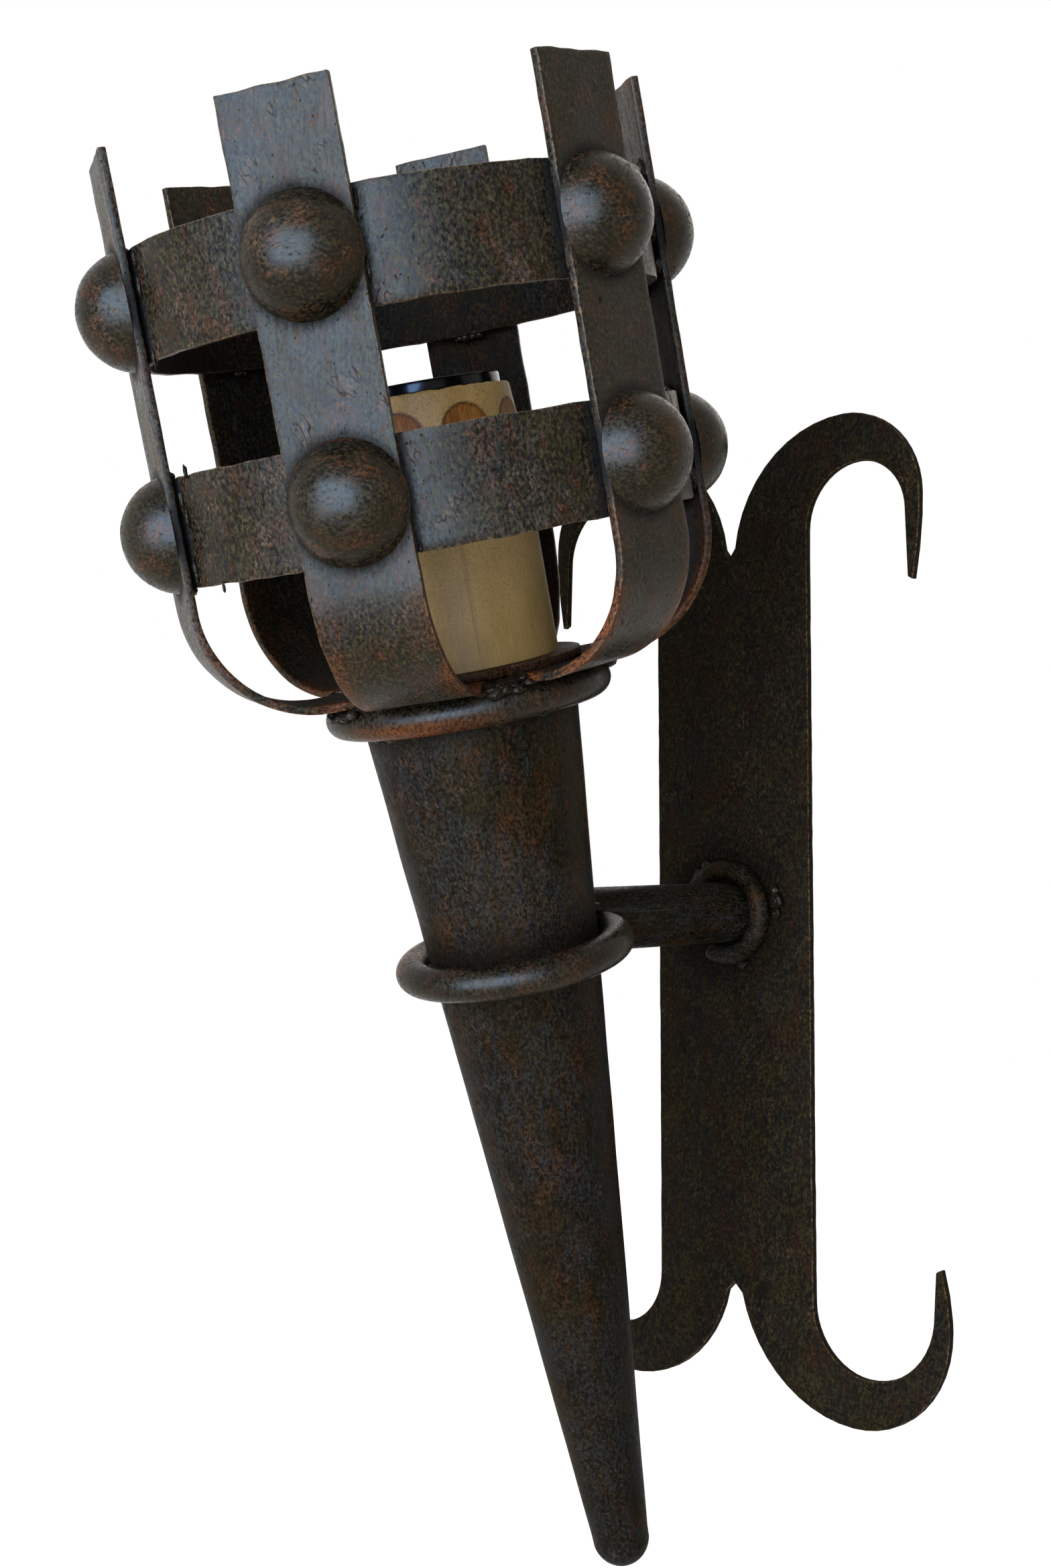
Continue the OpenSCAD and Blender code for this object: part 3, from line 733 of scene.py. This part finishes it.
class TORCH_OT_straps(TorchStep, bpy.types.Operator):
    """Add the six straps, each drawn as a flat bar with wandering edges and bent up from its foot"""

    bl_idname = "torch.straps"
    bl_label = "Straps"

    def execute(self, context):
        sizes, wear, finish = self.settings(context)
        thick, wander, rounding = sizes.strap_thick, wear.wander, wear.edge * 0.6
        level = sizes.mouth_up - thick
        bend_x, bend_z = sizes.basket_radius - sizes.strap_bend, level + sizes.strap_bend
        foot = bend_x - sizes.strap_foot
        curve = (sizes.strap_bend - thick / 2) * math.pi / 2
        long = foot + curve + sizes.strap_top - bend_z
        half = sizes.strap_width / 2
        # Each strap takes its grain from a place of its own, and its inner face is in painted shade but for its
        # lit top
        grain_apart, lit_top = 0.07, 22 * MM
        for index, turn in enumerate(STRAP_TURNS):
            bm = flat_bar(long, sizes.strap_width, thick, wear.edge, 150, 18)
            grain = bm.verts.layers.float_vector.new("grain")
            worn, painted_shade_and_fade, rusty = note(bm, "worn", "painted_shade_and_fade", "rusty")
            for v in bm.verts:
                x, y, z = v.co
                # Rust creeps up both edges from the foot, mostly on the first three
                creep = near(abs(y), half, 5 * MM) * near(x, 0, foot + curve * 1.3)
                creep *= 1.0 if index < 3 else 0.35
                v[rusty] = min(1.0, creep * (1.1 + marks(Vector((x, y, index * 50 * MM)), 6 * MM, 2)))
                v[grain] = (y + index * grain_apart, z, x)
                on_edge = abs(y) > half - rounding or x > long - rounding
                v[worn] = float(on_edge and min(z, thick - z) < rounding)
                # Painted shade round the studs, out to 3.2 mm
                up = bend_z + x - foot - curve
                away = min(math.hypot(y, up - middle) for middle in (sizes.lower_hoop, sizes.upper_hoop))
                v[painted_shade_and_fade] = near(max(away, sizes.stud_radius), sizes.stud_radius, 3.2 * MM) ** 1.5
                side = 1 if y > 0 else -1
                wave = abs(marks(Vector((x, side * 50 * MM, 0)), 9 * MM, wander, index * 7))
                y -= side * (abs(y) / half) ** 6 * (wander * 0.5 + wave)
                if x > long - 2 * MM:  # the sheared end
                    x -= 0.25 * MM + marks(Vector((y, 0, 0)), 5 * MM, 0.3 * MM, index * 3)
                hollow = abs(marks(Vector((x, y, 0)), 13 * MM, wear.dent, index * 5))
                z += hollow if z < thick / 2 else -hollow
                if x <= foot:
                    v.co = (sizes.strap_foot + x, y, level + z)
                elif x <= foot + curve:
                    bent = (x - foot) / curve * math.pi / 2
                    r = sizes.strap_bend - z
                    v.co = (bend_x + r * math.sin(bent), y, bend_z - r * math.cos(bent))
                else:
                    v.co = (sizes.basket_radius - z, y, bend_z + x - foot - curve)
            # Faces looking into the basket, below their lit top, take the dull finish in painted shade
            for face in bm.faces:
                inner = all(v[grain].y > thick * 0.7 and v[grain].z < long - lit_top for v in face.verts)
                face.material_index = int(inner)
            bmesh.ops.transform(bm, matrix=torch_place(sizes, turn), verts=bm.verts)
            bmesh.ops.recalc_face_normals(bm, faces=bm.faces)
            name = f"strap_{index + 1}"
            material = lacquered_iron("Lacquered flat bar", finish)
            inside = lacquered_iron("Dull lacquer in painted shade inside the basket", finish)
            piece(f"bent_{name}", bm, material, stands_for=[name], inside=inside)
        return {"FINISHED"}


class TORCH_OT_hoops(TorchStep, bpy.types.Operator):
    """Add the two hoops, spun from a rounded flat section, with uneven rims and a closed butt joint"""

    bl_idname = "torch.hoops"
    bl_label = "Hoops"

    def execute(self, context):
        sizes, wear, finish = self.settings(context)
        half, thick, rounding = sizes.hoop_height / 2, sizes.hoop_thick, wear.edge * 0.6
        inner = sizes.hoop_radius - thick
        mean = sizes.hoop_radius - thick / 2
        for number, (name, middle) in enumerate(
            (("lower_hoop", sizes.lower_hoop), ("upper_hoop", sizes.upper_hoop))
        ):
            bm = bmesh.new()
            corners = ((inner, -half), (sizes.hoop_radius, -half), (sizes.hoop_radius, half), (inner, half))
            face = bm.faces.new([bm.verts.new((r, 0, z)) for r, z in corners])
            bmesh.ops.bevel(
                bm, geom=face.verts[:], offset=wear.edge, segments=2, profile=0.5, affect="VERTICES", material=-1
            )
            bmesh.ops.delete(bm, geom=bm.faces[:], context="FACES_ONLY")
            upright = [e for e in bm.edges if abs(e.verts[0].co.z - e.verts[1].co.z) > half]
            bmesh.ops.subdivide_edges(bm, edges=upright, cuts=11)
            spin_round(bm, bm.verts[:] + bm.edges[:], 360)
            worn, painted_shade_and_fade = note(bm, "worn", "painted_shade_and_fade")
            for v in bm.verts:
                out = Vector((v.co.x, v.co.y, 0)).normalized()
                side = 1 if v.co.z > 0 else -1
                # Painted shade in the corners against the straps, out to 2.5 mm
                turn = math.degrees(math.atan2(v.co.x, -v.co.y))
                off = min(abs((turn - t + 180) % 360 - 180) for t in STRAP_TURNS)
                gap = math.radians(off) * sizes.basket_radius - sizes.strap_width / 2
                v[painted_shade_and_fade] = near(max(0.0, gap), 0, 2.5 * MM) ** 1.5 if v.co.xy.length > mean else 0.0
                depth = abs(v.co.xy.length - mean)
                v[worn] = float(abs(v.co.z) > half - rounding and depth > thick / 2 - rounding)
                wave = abs(marks(out * mean + Vector((0, 0, side)), 10 * MM, wear.wander * 1.6, number * 9))
                v.co.z -= side * (abs(v.co.z) / half) ** 6 * (wear.wander * 0.4 + wave)
                hollow = abs(marks(out * mean + Vector((0, 0, v.co.z)), 15 * MM, wear.dent, number * 5))
                v.co -= out * (hollow if v.co.xy.length > mean else -hollow)
                v.co.z += middle
            note_grain(bm)
            # Faces looking into the basket take the dull finish in painted shade
            for face in bm.faces:
                face.material_index = int(all(v.co.xy.length < mean - thick * 0.2 for v in face.verts))
            bmesh.ops.transform(bm, matrix=torch_place(sizes), verts=bm.verts)
            material = lacquered_iron("Lacquered flat bar", finish)
            inside = lacquered_iron("Dull lacquer in painted shade inside the basket", finish)
            piece(f"{name}_band", bm, material, stands_for=[name], inside=inside)
        return {"FINISHED"}


class TORCH_OT_studs(TorchStep, bpy.types.Operator):
    """Add the twelve domes over the crossings, each with its own faint hammer marks"""

    bl_idname = "torch.studs"
    bl_label = "Domed studs"

    def execute(self, context):
        sizes, _, finish = self.settings(context)
        r, h = sizes.stud_radius, sizes.stud_height
        ball = (r * r + h * h) / (2 * h)
        centre, hammered = Vector((0, 0, h - ball)), 0.1 * MM
        for number, (name, middle) in enumerate(
            (("lower_studs", sizes.lower_hoop), ("upper_studs", sizes.upper_hoop))
        ):
            bm = bmesh.new()
            grain = bm.verts.layers.float_vector.new("grain")
            for index, turn in enumerate(STRAP_TURNS):
                made = bmesh.ops.create_uvsphere(bm, u_segments=72, v_segments=48, radius=ball)["verts"]
                bmesh.ops.translate(bm, verts=made, vec=centre)
                new = set(made)
                linked = made + [p for parts in (bm.edges, bm.faces) for p in parts if p.verts[0] in new]
                cut = bmesh.ops.bisect_plane(
                    bm, geom=linked, plane_co=(0, 0, 0), plane_no=(0, 0, -1), clear_outer=True
                )
                rim = [e for e in cut["geom_cut"] if isinstance(e, bmesh.types.BMEdge)]
                bmesh.ops.edgenet_fill(bm, edges=rim)
                # Points without a grain yet are this dome's; each takes its grain from a place of its own
                here = [v for v in bm.verts if v[grain].length == 0.0]
                shift = Vector((0.11 * index, 0.13 * number + 0.01, 0))
                for v in here:
                    v[grain] = Vector((v.co.x, v.co.z, v.co.y)) + shift
                    if v.co.z > 0.1 * MM:
                        depth = hammered + marks(v.co, 5 * MM, hammered, index + 6 * number)
                        v.co -= (v.co - centre).normalized() * depth
                place = torch_place(sizes, turn) @ Matrix.Translation((sizes.basket_radius, 0, middle))
                bmesh.ops.transform(bm, matrix=place @ Matrix.Rotation(math.pi / 2, 4, "Y"), verts=here)
            bmesh.ops.recalc_face_normals(bm, faces=bm.faces)
            material = lacquered_iron("Lacquered dome", finish)
            piece(f"{name}_domes", bm, material, stands_for=[name])
        return {"FINISHED"}


# ---- welds ----


def add_drop(bm, place, size, shift, fine=2):
    """One frozen drop of weld: a ball, stretched to these half sizes and left uneven."""
    made = bmesh.ops.create_icosphere(bm, subdivisions=fine, radius=1.0)["verts"]
    for v in made:
        v.co *= 1 + 0.35 * noise.noise(v.co * 1.9 + Vector((shift, 0, 0)))
    bmesh.ops.transform(bm, matrix=place @ Matrix.Diagonal((*size, 1)), verts=made)


class TORCH_OT_welds(TorchStep, bpy.types.Operator):
    """Add the weld beads at the crossings, the feet, the rings and the arm, with a little spatter"""

    bl_idname = "torch.welds"
    bl_label = "Welds"

    def execute(self, context):
        sizes, wear, finish = self.settings(context)
        chance = random.Random(wear.seed)
        drop, hoops = wear.drop, (sizes.lower_hoop, sizes.upper_hoop)
        bm = bmesh.new()

        # Drops that the photograph shows beside the straps: turn, height, half width and half height
        for turn, level, wide, high in (
            (-16.8, 164.5, 0.55, 1.98), (-17.1, 158.5, 0.6, 2.52), (-16.9, 143, 0.55, 2.34),
            (-17.1, 111.5, 0.65, 2.7), (-15.8, 108, 0.5, 1.98), (-16.8, 96.5, 0.6, 3.24),
            (42.8, 164, 0.5, 2.16), (42.8, 150, 0.45, 2.52), (43.0, 93.8, 0.4, 1.17), (-12, 118, 0.45, 1.53),
            (-5.2, 92.2, 0.35, 1.26),
        ):
            place = at(turn, sizes.hoop_radius + 0.2 * MM, level * MM)
            add_drop(bm, place, (wide * MM, wide * MM, high * MM), turn + level, 3)
        add_drop(bm, at(89.1, sizes.basket_radius, 137.2 * MM), (0.5 * MM, 0.7 * MM, 0.7 * MM), 3)
        # And drops by chance beside the straps that it hides
        beside = math.degrees((sizes.strap_width / 2 + 0.5 * MM) / sizes.basket_radius)
        for turn, middle, side, level in product(STRAP_TURNS[2:5], hoops, (-1, 1), (-9, -2, 6, 12)):
            if chance.random() < 0.6:
                up = middle + (level + chance.random() * 2) * MM
                wide = drop * chance.uniform(0.6, 0.9)
                size = (wide, wide, wide * chance.uniform(1.4, 2.6))
                place = at(turn + side * beside, sizes.hoop_radius + 0.4 * MM, up)
                add_drop(bm, place, size, level + turn, 3)
        # Short runs of drops inside, over and under each hoop where a strap crosses it
        inner = sizes.hoop_radius - 0.7 * MM
        for turn, middle, edge in product(STRAP_TURNS, hoops, (-1, 1)):
            level = middle + edge * (sizes.hoop_height / 2 + 0.4 * MM)
            start = chance.uniform(-7, 2)
            for step in range(chance.randint(2, 5)):
                away = (start + step * 1.8) * MM
                wide = drop * chance.uniform(0.6, 1.0)
                place = at(turn + math.degrees(away / inner), inner, level)
                add_drop(bm, place, (wide * 0.8, wide, wide * 0.8), away * 4000)

        # Nine drops on the mouth ring in each gap between two feet
        ring = cone_radius(sizes, sizes.mouth_up - 6 * MM) + sizes.ring_bar / 2
        turns = STRAP_TURNS + (STRAP_TURNS[0] + 360,)
        for a, b in zip(turns, turns[1:]):
            between = (a + b) / 2
            for _ in range(9):
                turn, out = between + chance.uniform(-9, 9), ring + chance.uniform(-1, 3.5) * MM
                place = at(turn, out, sizes.mouth_up + chance.uniform(-3.5, -0.8) * MM)
                wide = drop * chance.uniform(0.9, 1.7)
                add_drop(bm, place, (wide * 1.2, wide * 1.2, wide * 0.8), between + chance.random())
        # The two lumps that the photograph shows: front, under the gap of two feet, and at the left foot.
        # Turn, radius, height and half length of each drop
        for turn, radius, level, size in (
            (62, 33, 59.2, 2.9), (66.5, 33.2, 58.7, 2.4), (57, 33.4, 59.6, 2.5), (72, 32.6, 59.6, 2.0),
            (60, 34.2, 60.2, 1.6), (52, 33.4, 59.2, 1.8), (64.5, 34.8, 59.8, 0.9), (-9, 34.2, 58.0, 2.4),
            (-14, 34.6, 57.6, 2.2), (-4, 34.3, 58.4, 2.0), (-19, 34.4, 58.2, 1.8),
        ):
            place = at(turn, radius * MM, level * MM)
            add_drop(bm, place, (size * 0.7 * MM, size * MM, size * 0.5 * MM), turn * 3, 3)
        # Under the mouth ring and at the ends of the middle ring
        under = sizes.mouth_up - 10.5 * MM
        for step in range(0, 360, 12):
            if chance.random() < 0.5:
                place = at(step, cone_radius(sizes, under) + 0.3 * MM, under)
                add_drop(bm, place, (0.9 * MM, 1.6 * MM, 0.9 * MM), step)
        side_on = math.degrees(math.asin(sizes.arm_radius / (cone_radius(sizes, 0) + 4 * MM))) + 1
        for side, rise in product((-1, 1), (-3.5, -1.2, 1.4)):
            level = rise * MM - sizes.middle_ring_down / 2
            place = at(180 + side * side_on, cone_radius(sizes, 0) + 2.2 * MM, level)
            add_drop(bm, place, (1.7 * MM, 1.5 * MM, 1.7 * MM), rise + side)
        bmesh.ops.transform(bm, matrix=torch_place(sizes), verts=bm.verts)

        # Round the arm where it is coped to the taper, found by halving the way along the arm 24 times
        back = torch_place(sizes).inverted()
        for step in range(0, 360, 14):
            a = math.radians(step)
            spot = Vector((math.cos(a), 0, math.sin(a))) * (sizes.arm_radius + 0.2 * MM)
            near_end, far_end = -sizes.arm_length, 0.0
            for _ in range(24):
                spot.y = (near_end + far_end) / 2
                local = back @ spot
                if local.xy.length < cone_radius(sizes, local.z):
                    near_end = spot.y
                else:
                    far_end = spot.y
            if chance.random() < 0.85:
                add_drop(bm, Matrix.Translation(spot), (1.4 * MM, 1.2 * MM, 1.4 * MM), step)
        # Tacks between the collar and the plate, with the large one on its right: x, z and half width
        for x, z, size in (
            (15.6, 3.4, 2.3), (14.6, 6.2, 1.7), (15.4, 0.2, 1.6), (-8, 12.4, 1.5), (-11, 10, 1.4),
            (4, -13.8, 1.4),
        ):
            place = Matrix.Translation((x * MM, -sizes.plate_thick - 0.6 * MM, z * MM))
            add_drop(bm, place, (size * MM, size * 0.7 * MM, size * MM), x, 3)
        bmesh.ops.recalc_face_normals(bm, faces=bm.faces)
        piece("weld_beads", bm, pooled_lacquer(finish), sharp=60)
        return {"FINISHED"}


# ---- sleeve and lampholder ----


class TORCH_OT_sleeve(TorchStep, bpy.types.Operator):
    """Add the loose sleeve, spun from its wall and pressed in at the dimples"""

    bl_idname = "torch.sleeve"
    bl_label = "Sleeve"

    def execute(self, context):
        sizes, _, finish = self.settings(context)
        r, wall, high = sizes.sleeve_radius, sizes.sleeve_wall, sizes.sleeve_height
        lip = r - sizes.lip_in
        # Heights of the rows in millimetres, close together where the dimples are
        rows = [0, 0.3, 1] + list(range(4, 46, 3)) + [46 + 0.5 * i for i in range(1, 34)]
        rows = [z * MM for z in rows if z * MM < high - 0.5 * MM]
        drawn_in = [max(0.0, (z - high + sizes.lip_height) / sizes.lip_height) for z in rows]
        outline = [(r - sizes.lip_in * share, z) for share, z in zip(drawn_in, rows)]
        outline += [
            (lip - 0.05 * MM, high - 0.3 * MM), (lip - 0.35 * MM, high),
            (r - wall + 0.1 * MM, high), (r - wall, high - 0.2 * MM),
        ]
        outline += [(r - wall, z) for z in reversed(rows)]
        bm = bmesh.new()
        spin_round(bm, section(bm, outline), 320)
        dimple, rim, low, seam = note(bm, "dimple", "outline", "low", "seam")
        step = math.tau / sizes.dimples
        seam_place, seam_wide, seam_top = math.radians(-32) * r, 0.45 * MM, high - 20 * MM
        for v in bm.verts:
            turn = math.atan2(v.co.y, v.co.x)
            off = (turn - sizes.dimple_turn + step / 2) % step - step / 2
            away = math.hypot(off * r, v.co.z - high + sizes.dimple_down) / sizes.dimple_radius
            outside = v.co.xy.length > r - wall * 0.6
            press = max(0.0, 1 - away * away) * sizes.dimple_depth * (1.0 if outside else 0.9)
            v.co -= Vector((v.co.x, v.co.y, 0)).normalized() * press
            if v.co.z > high - 0.5 * MM:
                v.co.z -= abs(marks(v.co, 3 * MM, 0.5 * MM))
            # Painted shade low on the sleeve, inside the basket
            v[low] = near(v.co.z, 0, high * 0.62)
            if outside:
                v[dimple] = near(max(away, 0.95), 0.95, 0.12)
                # Painted shade round the edge of each dimple
                v[rim] = near(away, 1, 0.09)
                v[seam] = near(turn * r, seam_place, seam_wide) if v.co.z < seam_top else 0.0
        note_grain(bm)
        lift = Matrix.Translation((0, 0, sizes.sleeve_foot))
        bmesh.ops.transform(bm, matrix=torch_place(sizes) @ lift, verts=bm.verts)
        piece("dimpled_sleeve", bm, aged_paint(finish), SLEEVE, ["lamp_sleeve"], sharp=50)
        return {"FINISHED"}


class TORCH_OT_lampholder(TorchStep, bpy.types.Operator):
    """Add the black lampholder, its brass screw shell with a rolled thread, its core and its contact"""

    bl_idname = "torch.lampholder"
    bl_label = "Lampholder"

    def execute(self, context):
        sizes, wear, finish = self.settings(context)
        black = plain_finish("Moulded black phenolic", finish.black[:])
        brass = plain_finish("Rolled brass")
        for name, node, material, slot in (
            ("holder_body", "holder_shell", black, "holder_black"),
            ("holder_base", "holder_cap", black, "holder_black"),
            ("porcelain_core", "contact_core", plain_finish("Glazed porcelain"), "core_ceramic"),
            ("contact_disc", "centre_contact", brass, "contact_brass"),
        ):
            piece(name, softened(node, wear.edge * 0.8, 30), material, stands_for=[node])

        # One wave of the rolled thread, spun up the shell and cut off level at both ends
        pitch, foot, high = sizes.thread_pitch, sizes.thread_foot, sizes.thread_height
        turns, parts, steps = math.ceil(high / pitch) + 2, 12, 60
        mean, wave = sizes.thread_radius + 0.12 * MM, 0.33 * MM
        outline = [
            (mean + wave * math.cos(math.tau * i / parts), foot - pitch * 1.5 + pitch * i / parts)
            for i in range(parts + 1)
        ]
        bm = bmesh.new()
        bmesh.ops.spin(
            bm, geom=section(bm, outline, closed=False), cent=(0, 0, 0), axis=(0, 0, 1),
            dvec=(0, 0, pitch / steps), angle=math.tau * turns, steps=steps * turns,
        )
        bmesh.ops.remove_doubles(bm, verts=bm.verts, dist=0.01 * MM)
        for level, up in ((foot, -1), (foot + high, 1)):
            bmesh.ops.bisect_plane(
                bm, geom=bm.verts[:] + bm.edges[:] + bm.faces[:], plane_co=(0, 0, level), plane_no=(0, 0, up),
                clear_outer=True,
            )
        bmesh.ops.recalc_face_normals(bm, faces=bm.faces)
        bmesh.ops.solidify(bm, geom=bm.faces[:], thickness=0.2 * MM)
        bmesh.ops.transform(bm, matrix=torch_place(sizes), verts=bm.verts)
        piece("threaded_shell", bm, brass, stands_for=["screw_shell"])
        return {"FINISHED"}


class TORCH_OT_wiring(TorchStep, bpy.types.Operator):
    """Finish the nipple, its nuts, the earth tag and the three leads, which keep their solids"""

    bl_idname = "torch.wiring"
    bl_label = "Nipple and wiring"

    def execute(self, context):
        finishes = {node: "Zinc-plated steel" for node in ("nipple", "nipple_nuts")}
        finishes["earth_tag"] = "Rolled brass"
        for node in ("live_lead", "neutral_lead", "earth_lead"):
            finishes[node] = f"PVC insulation {node}"
        for node, name in finishes.items():
            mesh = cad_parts[node].data
            mesh.materials.clear()
            mesh.materials.append(plain_finish(name))
        return {"FINISHED"}


# ---- studio ----


def seen_white(tree):
    """1 where the camera, a reflection or glass sees the background, and 0 where it lights the object."""
    rays = add(tree, "ShaderNodeLightPath", out="Is Camera Ray")
    seen = rays
    for kind in ("Is Glossy Ray", "Is Transmission Ray"):
        seen = add(tree, "ShaderNodeMath", {0: seen, 1: rays.node.outputs[kind]}, operation="MAXIMUM")
    return seen


class TORCH_OT_studio(TorchStep, bpy.types.Operator):
    """Add the pale floor, the soft lamp, the white surroundings and the camera"""

    bl_idname = "torch.studio"
    bl_label = "Studio"

    def execute(self, context):
        scene, studio = context.scene, context.scene.torch_light.studio
        bm = bmesh.new()
        bmesh.ops.create_circle(bm, cap_ends=True, segments=96, radius=3.0)
        bmesh.ops.translate(bm, verts=bm.verts, vec=(0, 0, -0.42))
        mesh = bpy.data.meshes.new("floor")
        bm.to_mesh(mesh)
        bm.free()
        floor = bpy.data.objects.new("floor", mesh)
        scene.collection.objects.link(floor)
        # Pale paper: lit as any floor, and lifted to white where the camera or a reflection sees it
        paper, tree = start_material("Pale paper")
        lift = add(tree, "ShaderNodeMath", {0: seen_white(tree), 1: 0.86}, operation="MULTIPLY")
        close_material(
            tree, Base_Color=linear("#e6e6e6"), Roughness=0.9, Emission_Color=(1, 1, 1, 1), Emission_Strength=lift
        )
        mesh.materials.append(paper)

        world = bpy.data.worlds.new("studio")
        world.use_nodes = True
        scene.world = world
        tree = world.node_tree
        tree.nodes.clear()
        soft = add(tree, "ShaderNodeBackground", {"Color": linear("#f6f4f0"), "Strength": studio.fill})
        white = add(tree, "ShaderNodeBackground", {"Color": (1, 1, 1, 1), "Strength": 1.0})
        both = add(tree, "ShaderNodeMixShader", {0: seen_white(tree), 1: soft, 2: white})
        tree.links.new(both, tree.nodes.new("ShaderNodeOutputWorld").inputs["Surface"])

        # Name, turn and rise in degrees, distance from the aim, size, power and colour. The window's sheen
        # is a lamp of its own, as the gloss of the lacquer shows it brighter than it lights
        aim = Vector((0, -0.11, 0.06))
        for name, turn, rise, far, size, power, colour in (
            ("window", 17, 4, 1.3, (1.2, 1.1), studio.key_power, "#fff8ec"),
            ("window_sheen", 22, -2, 1.3, (1.7, 1.55), studio.sheen_power, "#95bdff"),
            ("back_fill", 200, 35, 1.6, (1.2, 1.2), studio.key_power * 0.12, "#fff4e6"),
        ):
            lamp = bpy.data.lights.new(name, "AREA")
            lamp.shape = "RECTANGLE"
            lamp.size, lamp.size_y = size
            lamp.energy = power
            lamp.color = linear(colour)[:3]
            holder = bpy.data.objects.new(name, lamp)
            turn, rise = math.radians(turn), math.radians(rise)
            way = Vector((math.sin(turn) * math.cos(rise), -math.cos(turn) * math.cos(rise), math.sin(rise)))
            turned = way.to_track_quat("Z", "Y").to_matrix().to_4x4()
            holder.matrix_world = Matrix.Translation(aim + way * far) @ turned
            holder.visible_camera = False
            holder.visible_glossy = name != "window"
            holder.visible_diffuse = name != "window_sheen"
            scene.collection.objects.link(holder)

        # The camera was fitted to the photograph; its shift is in the photograph's pixels
        stand, photo_high = Vector((0.33579, -0.41543, 0.02463)), 2340
        turn, tilt, roll = math.radians(45.54), math.radians(2.46), math.radians(-0.14)
        ahead = Vector((-math.sin(turn) * math.cos(tilt), math.cos(turn) * math.cos(tilt), math.sin(tilt)))
        right = Vector((math.cos(turn), math.sin(turn), 0))
        above = right.cross(ahead)
        side = math.cos(roll) * right + math.sin(roll) * above
        above = math.cos(roll) * above - math.sin(roll) * right
        lens = bpy.data.cameras.new("camera")
        lens.lens = studio.focal
        lens.sensor_width = 36
        lens.shift_x, lens.shift_y = 24 / photo_high, -70 / photo_high
        lens.clip_start = 0.01
        camera = bpy.data.objects.new("camera", lens)
        camera.matrix_world = Matrix.Translation(stand) @ Matrix((side, above, -ahead)).transposed().to_4x4()
        scene.collection.objects.link(camera)
        scene.camera = camera
        scene.view_settings.view_transform = "Standard"
        return {"FINISHED"}


STEPS = (
    TORCH_OT_wall_plate, TORCH_OT_arm, TORCH_OT_taper, TORCH_OT_rings, TORCH_OT_straps, TORCH_OT_hoops,
    TORCH_OT_studs, TORCH_OT_welds, TORCH_OT_sleeve, TORCH_OT_lampholder, TORCH_OT_wiring, TORCH_OT_studio,
)


class TORCH_PT_panel(bpy.types.Panel):
    """Lists the settings and the steps"""

    bl_idname = "TORCH_PT_panel"
    bl_label = "Torch light"
    bl_space_type = "VIEW_3D"
    bl_region_type = "UI"
    bl_category = "Torch light"

    def draw(self, context):
        settings = context.scene.torch_light
        for group in (settings.sizes, settings.wear, settings.finish, settings.studio):
            box = self.layout.box()
            for key in group.__annotations__:
                box.prop(group, key)
        for step in STEPS:
            self.layout.operator(step.bl_idname)


CLASSES = (TorchSizes, TorchWear, TorchFinish, TorchStudio, TorchSettings) + STEPS + (TORCH_PT_panel,)


def register():
    for cls in CLASSES:
        bpy.utils.register_class(cls)
    bpy.types.Scene.torch_light = PointerProperty(type=TorchSettings)


def unregister():
    del bpy.types.Scene.torch_light
    for cls in reversed(CLASSES):
        bpy.utils.unregister_class(cls)


def main():
    """Builds the whole light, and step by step."""
    register()
    for step in STEPS:
        group, name = step.bl_idname.split(".")
        getattr(getattr(bpy.ops, group), name)()


if __name__ == "__main__":
    main()
